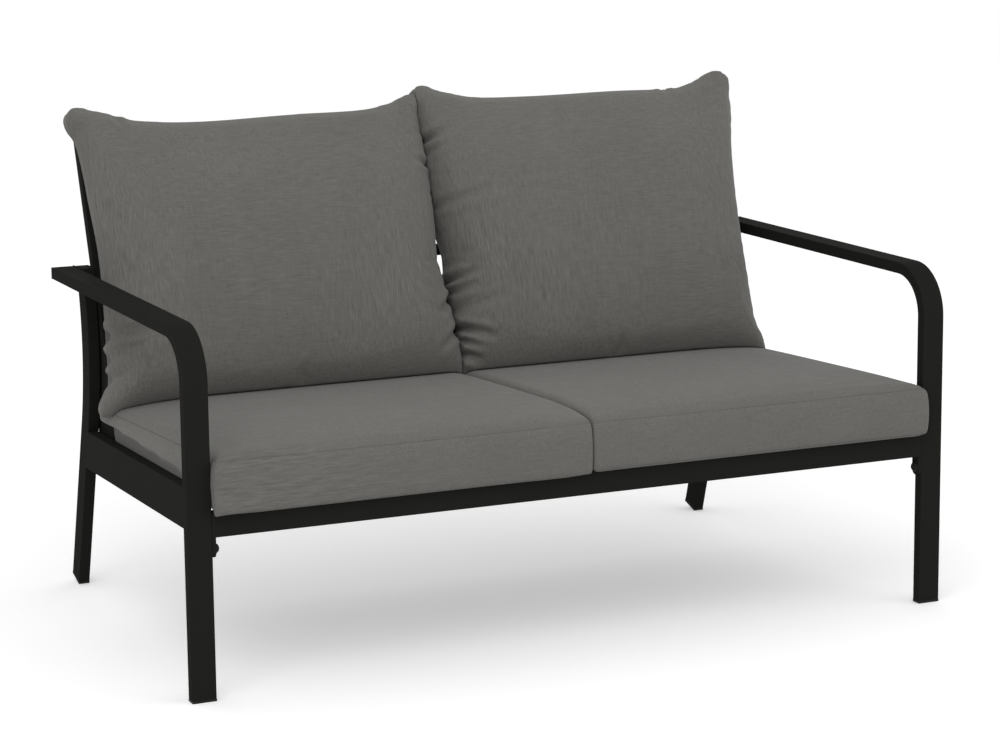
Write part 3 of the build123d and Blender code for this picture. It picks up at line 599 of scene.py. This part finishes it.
def pressed(piece, point, direction):
    """Flatten a piece where it would reach past a plane, given by a point and the way out of it."""
    rows = coordinates(piece.data)
    out = np.array(direction.normalized())
    depth = (rows - np.array(point)) @ out
    rows -= np.outer(np.minimum(depth, 0.0), out)
    set_coordinates(piece.data, rows)


def pressed_behind(piece, point, direction, depth):
    """Flatten a piece against a plane, but only behind a depth: what hangs in front of it stays."""
    front = coordinates(piece.data)
    pressed(piece, point, direction)
    rows = coordinates(piece.data)
    ahead = front[:, 1] < depth
    rows[ahead] = front[ahead]
    set_coordinates(piece.data, rows)


def creased(piece, folds):
    """Press and raise soft folds: each runs straight on the cushion's face from one place to another."""
    rows = coordinates(piece.data)
    out = normals(piece.data)
    local = back_local(rows)
    push = np.zeros(len(rows))
    for x0, y0, x1, y1, wide, deep in folds:
        start, along = np.array((x0, y0)), np.array((x1 - x0, y1 - y0))
        length = np.linalg.norm(along)
        along /= length
        offset = local[:, :2] - start
        run = offset @ along / length
        side = offset @ np.array((-along[1], along[0]))
        fade = np.clip(1.0 - np.clip(run, 0.0, None) ** 1.5, 0.0, 1.0)
        fade *= np.exp(-((np.minimum(run, 0.0) * 6) ** 2))
        ridge = np.exp(-((side / wide) ** 2))
        ridge -= BANK_HIGH * np.exp(-(((np.abs(side) - BANK_AWAY * wide) / wide) ** 2))
        push -= deep * fade * ridge * (local[:, 2] > 0)
    rows += out * push[:, None]
    set_coordinates(piece.data, rows)


# Seat cushions


def seat_place(side, props):
    """A function from box shares to points of a seat cushion."""
    sign = SIDES[side]
    low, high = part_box("seat_cushion_" + side)
    inner = SEAT_HALF_GAP + sign * SEAT_PARTING_X
    outer = max(abs(low[0]), abs(high[0])) - SEAT_SIDE_CLEAR
    narrow = SEAT_TAPER * (DECK_BACK_Y - SEAT_FRONT_Y)
    front = SEAT_FRONT_Y - RAIL_BACK_Y + SEAT_FRONT_CLEAR
    nose = -RAIL_BACK_Y + FRONT_Y - NOSE_START
    rail_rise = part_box("side_rail_right")[1][2] - DECK_FRONT_Z + RAIL_CLEAR
    lean = math.tan(BACK_LEAN)

    def rear(up):
        """Distance behind the front rail at which the cushion's rear face stands, for a rise."""
        above = DECK_FRONT_Z + up * math.cos(SEAT_RAKE) - PLATE_TOP_Z
        level = STILE_FRONT_Y - RAIL_BACK_Y - SEAT_REAR_CLEAR / math.cos(BACK_LEAN) + above * lean
        return (level - up * math.sin(SEAT_RAKE)) / (math.cos(SEAT_RAKE) + math.sin(SEAT_RAKE) * lean)

    def place(u, v, w):
        """u runs across, v from front to back, w from the base to the top."""
        corner = 1.0 + (CORNER_OUT if u > 0 else CORNER_IN) * (abs(u) * abs(v)) ** RIM_POWER
        s, t = (u * corner + 1) / 2, (v * corner + 1) / 2
        up = props.seat_boxing * (1 + w) / 2
        behind = front + (rear(up) - front) * t
        over = (up - rail_rise - RAIL_CLIMB * t) / RAIL_FADE
        over = min(max(over, 0.0), 1.0)
        x = inner + (outer - narrow * t * (1 - over * over * (3 - 2 * over)) - inner) * s
        edge = max(abs(u), abs(v))
        out = SEAT_SWELL * (1 - w * w) - (0.7 if w > 0 else 0.2) * SEAT_SEW * abs(w) ** 10
        out *= edge**RIM_POWER
        heel = SEAT_HEEL[side] * max(u, 0.0) ** 20 * max(-v, 0.0) ** 8 * max(-w, 0.0) ** 3
        x += out * (abs(u) ** RIM_POWER) * math.copysign(1, u) * (1 if u > 0 else 0.25) + HEEL_OUT * heel
        behind += out * (abs(v) ** RIM_POWER) * math.copysign(1, v)
        brow = SEAT_SEW * max(0.0, 1 - edge**40) ** 0.5
        if w > 0:
            dome = (1 - max(u, 0.0) ** 5.0) * (1 - abs(v) ** 5.0)
            up = up + (brow + props.seat_crown * dome) * w**8 - SEAT_SEW * w
        else:
            lip = min(max((nose - behind) / NOSE_FADE, 0.0), 1.0)
            up = up - 0.3 * SEAT_SEW * w - 0.3 * brow * w**8 - SEAT_DROOP[side] * lip * w**4
            up -= HEEL_DOWN * heel
        spot = raked(x, behind, up)
        return Vector((sign * spot.x, spot.y, spot.z))

    return place


def make_seat_cushion(side):
    """One boxed seat cushion, puffed and finished."""
    props = settings()
    vertices, faces = boxed_skin(*SEAT_GRID, seat_place(side, props))
    piece = new_piece("seat_cover_" + side, vertices, faces, "Seat cloth")
    outward(piece)
    puffed(piece, props.seat_pressure, 8, props.seat_reach, OFF_DECK, 0.75)
    refined(piece)
    pressed_behind(piece, raked(0, 0, SEAT_LIFT), OFF_DECK, FRONT_Y - NOSE_FREE)
    pressed(piece, leaned(0, SEAT_BACK_PLANE, 0), AHEAD)
    parted(piece, side, SEAT_PARTING_X, SEAT_HALF_GAP)
    for level in (1.0, -1.0):
        grooved(piece, on_surface(piece, seat_seam(side, props, level), 0.0), *SEAT_GROOVE)
    return piece


def seat_seam(side, props, level):
    """Places round a seat cushion's top seam at level one, or its base seam at minus one."""
    place = seat_place(side, props)
    corners = [(-1.0, -1.0), (1.0, -1.0), (1.0, 1.0), (-1.0, 1.0), (-1.0, -1.0)]
    line = []
    for (u0, v0), (u1, v1) in zip(corners, corners[1:]):
        for n in range(SEAT_SEAM_STEPS):
            u, v = u0 + (u1 - u0) * n / SEAT_SEAM_STEPS, v0 + (v1 - v0) * n / SEAT_SEAM_STEPS
            line.append(place(u, v, level))
    return line + line[:1]


def parted(piece, side, middle, gap):
    """Keep a cushion on its own side of where the two lean together."""
    pressed(piece, Vector((middle + SIDES[side] * gap, 0, 0)), Vector((SIDES[side], 0, 0)))


def outward(piece):
    """Turn a closed piece's faces outward."""
    mesh = bmesh.new()
    mesh.from_mesh(piece.data)
    bmesh.ops.recalc_face_normals(mesh, faces=mesh.faces)
    mesh.to_mesh(piece.data)
    mesh.free()


# Back cushions


def back_place(side, props):
    """A function from shares to points of a back cushion."""
    top, first, second = BACK_EDGES[side]

    def place(u, v, face):
        """u runs across from the viewer's left, v up from the base, face is the front or the rear."""
        corner = 1.0 - 0.035 * (abs(u) * abs(v)) ** 16 if v > 0 else 1.0
        s, t = (u * corner + 1) / 2, (v * corner + 1) / 2
        high = eased_curve(top, s)
        up = BACK_LOW + (high - BACK_LOW) * t
        x0, x1 = eased_curve(first, t), eased_curve(second, t)
        x = x0 + (x1 - x0) * s
        side_power = 3.2 + 3.0 * (1 - t) + 16.0 * (1 - t) ** 4
        full = (1 - abs(u) ** side_power) * (1 - abs(v) ** (4.0 if v > 0 else 10.0))
        full = max(0.0, full) ** 0.5
        ear = max(0.0, 1 - math.hypot((1 - abs(u)) / EAR_SPAN, (1 - v) / EAR_SPAN)) if v > 0 else 0.0
        seam = SEAM_AHEAD + SEAM_SAG * (1 - t) ** 2
        if face > 0:
            depth = eased_curve(BACK_DEPTHS, t) * props.back_swell
            ahead = seam + (depth - seam) * full + EAR_FRONT * ear * (full > 0)
        else:
            ahead = seam + (BACK_REST - seam) * full - EAR_REAR * ear * (full > 0)
        return leaned(x, ahead, up)

    return place


def back_local(rows):
    """Width, rise up the lean and distance ahead of the seam, for places on a back cushion."""
    behind = rows[:, 1] - STILE_FRONT_Y
    above = rows[:, 2] - PLATE_TOP_Z
    rise = above * math.cos(BACK_LEAN) + behind * math.sin(BACK_LEAN)
    ahead = above * math.sin(BACK_LEAN) - behind * math.cos(BACK_LEAN)
    return np.stack((rows[:, 0], rise, ahead - SEAM_AHEAD), axis=1)


def gathers(side):
    """Small puckers that run in from the side seams of a back cushion."""
    _, first, second = BACK_EDGES[side]
    chance = random.Random(GATHER_SEEDS[side])
    folds = []
    for edge, way in ((first, 1.0), (second, -1.0)):
        for number in range(GATHERS):
            rise = GATHER_LOW + (GATHER_HIGH - GATHER_LOW) * (number + chance.random()) / GATHERS
            x = eased_curve(edge, rise / GATHER_HIGH) + way * 0.001
            reach = 0.018 + 0.022 * chance.random()
            slant = 0.012 * (chance.random() - 0.5)
            deep = (0.0006 + 0.0018 * chance.random()) * (0.35 if abs(x) > 0.5 else 1.0)
            folds.append((x, rise, x + way * reach, rise + slant, 0.006, deep))
    return folds


def make_back_cushion(side):
    """One loose back cushion, puffed and finished."""
    props = settings()
    vertices, faces = shell_grid(*BACK_GRID, back_place(side, props))
    piece = new_piece("back_cover_" + side, vertices, faces, "Back cloth")
    outward(piece)
    remeshed(piece, BACK_VOXEL)
    puffed(piece, props.back_pressure, 16, props.back_reach, AHEAD, 0.8)
    refined(piece)
    creased(piece, BACK_FOLDS[side] + gathers(side))
    pressed(piece, leaned(0, BACK_LIFT, 0), AHEAD)
    pressed(piece, leaned(0, *ZIP_PLANE), AHEAD + RISE)
    parted(piece, side, PARTING_X, BACK_HALF_GAP)
    for seat in SIDES:
        rested(piece, bpy.data.objects["seat_cover_" + seat])
    grooved(piece, on_surface(piece, back_seam(side, props), 0.0), *BACK_GROOVE)
    return piece


def back_seam(side, props):
    """Places along the seam of a back cushion, up one side, over the top and down the other."""
    place = back_place(side, props)
    steps = BACK_SEAM_STEPS
    line = [place(-1.0, -0.9 + 1.86 * n / steps, 1) for n in range(steps)]
    line += [place(-0.96 + 1.92 * n / steps, 1.0, 1) for n in range(steps + 1)]
    line += [place(1.0, 0.96 - 1.86 * n / steps, 1) for n in range(steps)]
    return line


def rested(piece, seat):
    """Rest a soft piece on a seat: what would sink in lies on its top, a little clear at the front."""
    tree = BVHTree.FromObject(seat, bpy.context.evaluated_depsgraph_get())
    rows = coordinates(piece.data)
    drop = Vector((0, 0, -1))
    for number in np.flatnonzero(rows[:, 2] < DECK_FRONT_Z + REST_RISE):
        row = rows[number]
        top = tree.ray_cast(Vector((row[0], row[1], 1.0)), drop)[0]
        ahead = (STILE_FRONT_Y + REST_AHEAD - row[1]) / REST_FADE
        clear = REST_GAP + REST_CLEAR * min(max(ahead, 0.0), 1.0) ** 2
        if top and row[2] < top.z + clear:
            row[2] = top.z + clear
    set_coordinates(piece.data, rows)


# Threads, teeth and welds: small forms set along paths


def small_forms_tree():
    """Geometry nodes that set a small round form along every path at an even pitch."""
    tree = bpy.data.node_groups.new("Small forms on paths", "GeometryNodeTree")
    sockets = (("Paths", "Geometry"), ("Pitch", "Float"), ("Size", "Vector"), ("Finish", "Material"))
    for title, kind in sockets:
        tree.interface.new_socket(name=title, in_out="INPUT", socket_type="NodeSocket" + kind)
    tree.interface.new_socket(name="Forms", in_out="OUTPUT", socket_type="NodeSocketGeometry")
    start, end = tree.nodes.new("NodeGroupInput"), tree.nodes.new("NodeGroupOutput")
    kinds = "MeshToCurve CurveToPoints MeshIcoSphere Transform SetShadeSmooth InstanceOnPoints"
    kinds += " RealizeInstances SetMaterial"
    made = [tree.nodes.new("GeometryNode" + kind) for kind in kinds.split()]
    curve, points, ball, shape, smooth, copies, real, finish = made
    points.mode = "LENGTH"
    set_inputs(ball, Radius=1.0, Subdivisions=2)
    for source, output, target, entry in (
        (start, "Paths", curve, "Mesh"),
        (curve, "Curve", points, "Curve"),
        (start, "Pitch", points, "Length"),
        (ball, "Mesh", shape, "Geometry"),
        (start, "Size", shape, "Scale"),
        (shape, "Geometry", smooth, "Geometry"),
        (points, "Points", copies, "Points"),
        (points, "Rotation", copies, "Rotation"),
        (smooth, "Geometry", copies, "Instance"),
        (copies, "Instances", real, "Geometry"),
        (real, "Geometry", finish, "Geometry"),
        (start, "Finish", finish, "Material"),
        (finish, "Geometry", end, "Forms"),
    ):
        tree.links.new(source.outputs[output], target.inputs[entry])
    return tree


def small_forms(name, paths, pitch, size, finish):
    """One plain mesh of small forms along paths, wide, high and long as given."""
    vertices, edges = [], []
    for path in paths:
        first = len(vertices)
        vertices += [tuple(point) for point in path]
        edges += [(first + n, first + n + 1) for n in range(len(path) - 1)]
    mesh = bpy.data.meshes.new(name)
    mesh.from_pydata(vertices, edges, [])
    piece = bpy.data.objects.new(name, mesh)
    bpy.context.scene.collection.objects.link(piece)
    tree = bpy.data.node_groups.get("Small forms on paths") or small_forms_tree()
    maker = piece.modifiers.new("Small forms", "NODES")
    maker.node_group = tree
    sockets = {item.name: item.identifier for item in tree.interface.items_tree}
    maker[sockets["Pitch"]] = pitch
    maker[sockets["Size"]] = size
    maker[sockets["Finish"]] = bpy.data.materials[finish]
    return applied(piece)


def on_surface(piece, path, proud):
    """A path laid on a piece's surface, that far out of it."""
    tree = BVHTree.FromObject(piece, bpy.context.evaluated_depsgraph_get())
    laid = []
    for point in path:
        near, normal, _, _ = tree.find_nearest(point)
        laid.append(near + normal * proud)
    return laid


def grooved(piece, path, wide, deep):
    """Draw a piece's cloth in along a path, as a seam does."""
    tree = KDTree(len(path))
    for number, point in enumerate(path):
        tree.insert(point, number)
    tree.balance()
    rows, out = coordinates(piece.data), normals(piece.data)
    reach = max((b - a).length for a, b in zip(path, path[1:])) / 2
    for number, row in enumerate(rows):
        distance = max(0.0, tree.find(row)[2] - reach / 2)
        if distance < 3 * wide:
            row -= out[number] * deep * math.exp(-((distance / wide) ** 2))
    set_coordinates(piece.data, rows)


def stitched(kind, side, seams):
    """Thread along the seams of one cushion."""
    cover = bpy.data.objects[f"{kind}_cover_{side}"]
    rows = [on_surface(cover, seam, STITCH_PROUD) for seam in seams]
    return small_forms(f"{kind}_stitches_{side}", rows, STITCH_PITCH, STITCH, "Seam thread")


def make_stitches():
    """Rows of thread beside the seams of all four cushions."""
    props = settings()
    for side in SIDES:
        piece = stitched("seat", side, [seat_seam(side, props, level) for level in (1.0, -1.0)])
        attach(piece, f"{side}_seat_cushion")
        piece = stitched("back", side, [back_seam(side, props)])
        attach(piece, f"{side}_back_cushion")


def zip_line(node, out, aside):
    """Ends of a zip's middle line on its outer face, moved sideways on it."""
    low, high = (Vector(corner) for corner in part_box(node))
    middle = (low + high) / 2 + out * TOOTH_PROUD + aside
    return [Vector((x, middle.y, middle.z)) for x in (low.x + ZIP_END, high.x - ZIP_END)]


def make_zip_teeth():
    """Two rows of teeth that meet along each zip."""
    facings = {
        "seat": (-AHEAD, RISE),
        "back": (-(AHEAD + RISE).normalized(), (AHEAD - RISE).normalized()),
    }
    for side in SIDES:
        for kind, (out, along) in facings.items():
            rows = []
            for way in (1, -1):
                ends = zip_line(f"{kind}_zip_{side}", out, along * way * TOOTH_ASIDE)
                shift = Vector((TOOTH_PITCH / 2 if way > 0 else 0.0, 0, 0))
                rows.append([end + shift for end in ends])
            piece = small_forms(f"{kind}_teeth_{side}", rows, TOOTH_PITCH, TOOTH, "Zip metal")
            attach(piece, f"{side}_{kind}_cushion")


def leaned_ring(node, x):
    """Section outline of a leaned cross rail at a width, worked out from its box."""
    low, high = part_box(node)
    wide, tall = high[1] - low[1], high[2] - low[2]
    cos, sin = math.cos(BACK_LEAN), math.sin(BACK_LEAN)
    thick = (wide * cos - tall * sin) / (cos * cos - sin * sin)
    deep = (tall * cos - wide * sin) / (cos * cos - sin * sin)
    middle = Vector((x, (low[1] + high[1]) / 2, (low[2] + high[2]) / 2))
    back = Vector((0, cos, -sin)) * thick / 2
    top = Vector((0, sin, cos)) * deep / 2
    ring = [middle - back - top, middle + back - top, middle + back + top, middle - back + top]
    return ring + ring[:1]


def level_ring(x, low, high):
    """Side outline of a box, drawn at a width."""
    corners = ((low, low), (high, low), (high, high), (low, high), (low, low))
    return [Vector((x, a[1], b[2])) for a, b in corners]


def make_welds():
    """Weld beads where the tubes meet."""
    paths = []
    stile_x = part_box("back_stile_right")[0][0]
    for sign in SIDES.values():
        for rail in ("back_top_rail", "back_cross_rail", "back_lower_rail"):
            paths.append(leaned_ring(rail, sign * stile_x))
        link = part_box("arm_link_right")
        paths.append(level_ring(sign * link[1][0], *link))
        rail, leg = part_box("side_rail_right"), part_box("arm_leg_right")
        inner, outer, front = leg[0][0], rail[1][0], rail[0][1]
        low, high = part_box("front_rail")[0][2] + BEAD, rail[1][2]
        turn = ((outer, low), (outer, high), (inner, high))
        paths.append([Vector((sign * x, front, z)) for x, z in turn])
        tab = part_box("front_tabs")
        ends = (tab[0][1] + BEAD, tab[1][1] - BEAD)
        paths.append([Vector((sign * (inner - TAB_WELD_INSET), y, tab[1][2])) for y in ends])
    paths += slat_welds(stile_x)
    piece = small_forms("weld_beads", paths, BEAD_PITCH, (BEAD, BEAD, BEAD), "Black powder coat")
    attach(piece, "frame")


def slat_welds(stile_x):
    """Beads behind the ends of the back slats."""
    pitch = 2 * stile_x / SLAT_COUNT
    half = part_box("back_slats")[1][0] - pitch * (SLAT_COUNT - 1) / 2
    low_ring, high_ring = leaned_ring("back_lower_rail", 0), leaned_ring("back_top_rail", 0)
    toward = (low_ring[1] - low_ring[0]).normalized()
    paths = []
    for number in range(SLAT_COUNT):
        x = pitch * (number - (SLAT_COUNT - 1) / 2)
        for spot in (low_ring[3] + toward * SLAT_THICK, high_ring[0] + toward * SLAT_THICK):
            paths.append([Vector((x + way * half, spot.y, spot.z)) for way in (-0.9, 0.9)])
    return paths


# Stage


def make_floor():
    """Wide pale floor that turns into the white background."""
    corners = ((-1, -1), (1, -1), (1, 1), (-1, 1))
    vertices = [(x * FLOOR_REACH, y * FLOOR_REACH, 0.0) for x, y in corners]
    floor = new_piece("studio_floor", vertices, [(0, 1, 2, 3)], "Studio floor", smooth=False)


def seen_mask(tree):
    """One where the camera or a reflection looks, zero for the light that falls on the object."""
    path = tree.nodes.new("ShaderNodeLightPath")
    return math_node(tree, "MAXIMUM", path.outputs["Is Camera Ray"], path.outputs["Is Glossy Ray"])


def floor_material():
    """Pale matt floor that the camera sees a little lighter than it is."""
    tree, shader = new_material("Studio floor")
    set_inputs(shader, Base_Color=(0.9, 0.9, 0.9, 1.0), Emission_Color=(1.0, 1.0, 1.0, 1.0))
    set_inputs(shader, Roughness=1.0, Specular_IOR_Level=0.0)
    glow = math_node(tree, "MULTIPLY", seen_mask(tree), settings().floor_lift)
    tree.links.new(glow, shader.inputs["Emission Strength"])


def make_world():
    """Even white surroundings, white to the camera."""
    world = bpy.data.worlds.new("Studio world")
    bpy.context.scene.world = world
    world.use_nodes = True
    tree = world.node_tree
    background = tree.nodes["Background"]
    set_inputs(background, Color=(1.0, 1.0, 1.0, 1.0))
    level = spread(tree, seen_mask(tree), To_Min=settings().world_level, To_Max=1.0)
    tree.links.new(level, background.inputs["Strength"])


def make_lamp(name, place, size, power):
    """Soft square lamp that faces the object."""
    light = bpy.data.lights.new(name, "AREA")
    light.shape = "SQUARE"
    light.size = size
    light.energy = power
    lamp = bpy.data.objects.new(name, light)
    bpy.context.scene.collection.objects.link(lamp)
    lamp.location = place
    lamp.rotation_euler = (Vector(LAMP_AIM) - Vector(place)).to_track_quat("-Z", "Y").to_euler()


def make_camera():
    """Camera at the photograph's viewpoint."""
    props = settings()
    data = bpy.data.cameras.new("Camera")
    data.sensor_width = 36.0
    data.lens = props.lens
    data.clip_end = 200.0
    camera = bpy.data.objects.new("Camera", data)
    bpy.context.scene.collection.objects.link(camera)
    yaw, pitch, roll = props.camera_turn, props.camera_drop, props.camera_roll
    ahead = Vector((math.sin(yaw) * math.cos(pitch), math.cos(yaw) * math.cos(pitch), -math.sin(pitch)))
    level = Vector((math.cos(yaw), -math.sin(yaw), 0.0))
    upright = level.cross(ahead)
    right = math.cos(roll) * level + math.sin(roll) * upright
    top = -math.sin(roll) * level + math.cos(roll) * upright
    turn = Matrix((right, top, -ahead)).transposed()
    camera.matrix_world = Matrix.Translation(props.camera_place) @ turn.to_4x4()
    bpy.context.scene.camera = camera


# Settings, operators and panel


class LoveseatSettings(bpy.types.PropertyGroup):
    """Sizes and colours of the loveseat's looks."""

    cloth_colour: bpy.props.FloatVectorProperty(
        name="Cloth colour", description="Main colour of the cushions",
        subtype="COLOR", default=(0.141, 0.138, 0.128),
    )
    paint_colour: bpy.props.FloatVectorProperty(
        name="Paint colour", description="Colour of the coated tubes",
        subtype="COLOR", default=(0.0172, 0.0172, 0.0155),
    )
    seat_boxing: bpy.props.FloatProperty(
        name="Seat boxing", description="Height of a seat cushion's sides",
        unit="LENGTH", default=0.0855,
    )
    seat_crown: bpy.props.FloatProperty(
        name="Seat crown", description="Rise of a seat cushion's top over its seams",
        unit="LENGTH", default=0.016,
    )
    seat_pressure: bpy.props.FloatProperty(
        name="Seat pressure", description="Air pressure that puffs a seat cushion", default=3.0
    )
    seat_reach: bpy.props.FloatProperty(
        name="Seat reach", description="How far the pressure may move a seat cushion's cloth",
        unit="LENGTH", default=0.0025,
    )
    back_swell: bpy.props.FloatProperty(
        name="Back swell", description="Fullness of a back cushion's face against its drawn depth",
        default=0.95,
    )
    back_reach: bpy.props.FloatProperty(
        name="Back reach", description="How far the pressure may move a back cushion's cloth",
        unit="LENGTH", default=0.010,
    )
    back_pressure: bpy.props.FloatProperty(
        name="Back pressure", description="Air pressure that puffs a back cushion", default=4.0
    )
    lens: bpy.props.FloatProperty(name="Lens", description="Focal length in millimetres", default=105.877)
    camera_place: bpy.props.FloatVectorProperty(
        name="Camera place", description="Where the camera stands", subtype="TRANSLATION",
        default=(-2.0503, -4.6152, 1.3714),
    )
    camera_turn: bpy.props.FloatProperty(
        name="Camera turn", description="Turn from straight back to the right",
        subtype="ANGLE", default=0.423070,
    )
    camera_drop: bpy.props.FloatProperty(
        name="Camera drop", description="How far the camera looks down",
        subtype="ANGLE", default=0.188165,
    )
    camera_roll: bpy.props.FloatProperty(
        name="Camera roll", description="Tilt of the camera about its view",
        subtype="ANGLE", default=-0.009856,
    )
    world_level: bpy.props.FloatProperty(
        name="World level", description="Strength of the even light from all round", default=0.75
    )
    floor_lift: bpy.props.FloatProperty(
        name="Floor lift", description="How much lighter the camera sees the floor", default=0.33
    )


class LOVESEAT_OT_finishes(bpy.types.Operator):
    """Make the finishes and put them on the frame's nodes"""

    bl_idname = "loveseat.finishes"
    bl_label = "Finishes"

    def execute(self, context):
        make_materials()
        for finish, names in FINISHES.items():
            for name in names.split():
                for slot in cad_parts[name].material_slots:
                    slot.material = bpy.data.materials[finish]
        return {"FINISHED"}


class LOVESEAT_OT_seat_cushions(bpy.types.Operator):
    """Make the two boxed seat cushions"""

    bl_idname = "loveseat.seat_cushions"
    bl_label = "Seat cushions"

    def execute(self, context):
        for side in SIDES:
            piece = make_seat_cushion(side)
            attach(piece, f"{side}_seat_cushion")
            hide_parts(f"seat_cushion_{side}", f"seat_foam_{side}")
        return {"FINISHED"}


class LOVESEAT_OT_back_cushions(bpy.types.Operator):
    """Make the two loose back cushions"""

    bl_idname = "loveseat.back_cushions"
    bl_label = "Back cushions"

    def execute(self, context):
        for side in SIDES:
            piece = make_back_cushion(side)
            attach(piece, f"{side}_back_cushion")
            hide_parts(f"back_cushion_{side}", f"back_filling_{side}")
        return {"FINISHED"}


class LOVESEAT_OT_stitches(bpy.types.Operator):
    """Sew the stitches beside the cushions' seams"""

    bl_idname = "loveseat.stitches"
    bl_label = "Stitches"

    def execute(self, context):
        make_stitches()
        return {"FINISHED"}


class LOVESEAT_OT_zip_teeth(bpy.types.Operator):
    """Set the teeth on the cushions' zips"""

    bl_idname = "loveseat.zip_teeth"
    bl_label = "Zip teeth"

    def execute(self, context):
        make_zip_teeth()
        return {"FINISHED"}


class LOVESEAT_OT_welds(bpy.types.Operator):
    """Lay the weld beads on the frame"""

    bl_idname = "loveseat.welds"
    bl_label = "Welds"

    def execute(self, context):
        make_welds()
        return {"FINISHED"}


class LOVESEAT_OT_stage(bpy.types.Operator):
    """Set up the floor, the light and the camera"""

    bl_idname = "loveseat.stage"
    bl_label = "Stage"

    def execute(self, context):
        floor_material()
        make_floor()
        make_world()
        for lamp in LAMPS:
            make_lamp(*lamp)
        make_camera()
        context.scene.view_settings.view_transform = "Standard"
        return {"FINISHED"}


class LOVESEAT_PT_panel(bpy.types.Panel):
    """Panel with the steps of the loveseat"""

    bl_idname = "LOVESEAT_PT_panel"
    bl_label = "Patio loveseat"
    bl_space_type = "VIEW_3D"
    bl_region_type = "UI"
    bl_category = "Loveseat"

    def draw(self, context):
        column = self.layout.column()
        for step in STEPS:
            column.operator(step.bl_idname)
        for name in LoveseatSettings.__annotations__:
            column.prop(context.scene.loveseat, name)


STEPS = (
    LOVESEAT_OT_finishes,
    LOVESEAT_OT_seat_cushions,
    LOVESEAT_OT_back_cushions,
    LOVESEAT_OT_stitches,
    LOVESEAT_OT_zip_teeth,
    LOVESEAT_OT_welds,
    LOVESEAT_OT_stage,
)
CLASSES = (LoveseatSettings, *STEPS, LOVESEAT_PT_panel)


def register():
    for cls in CLASSES:
        bpy.utils.register_class(cls)
    bpy.types.Scene.loveseat = bpy.props.PointerProperty(type=LoveseatSettings)


def unregister():
    del bpy.types.Scene.loveseat
    for cls in reversed(CLASSES):
        bpy.utils.unregister_class(cls)


def main():
    register()
    for step in STEPS:
        group, name = step.bl_idname.split(".")
        getattr(getattr(bpy.ops, group), name)()


if __name__ == "__main__":
    main()
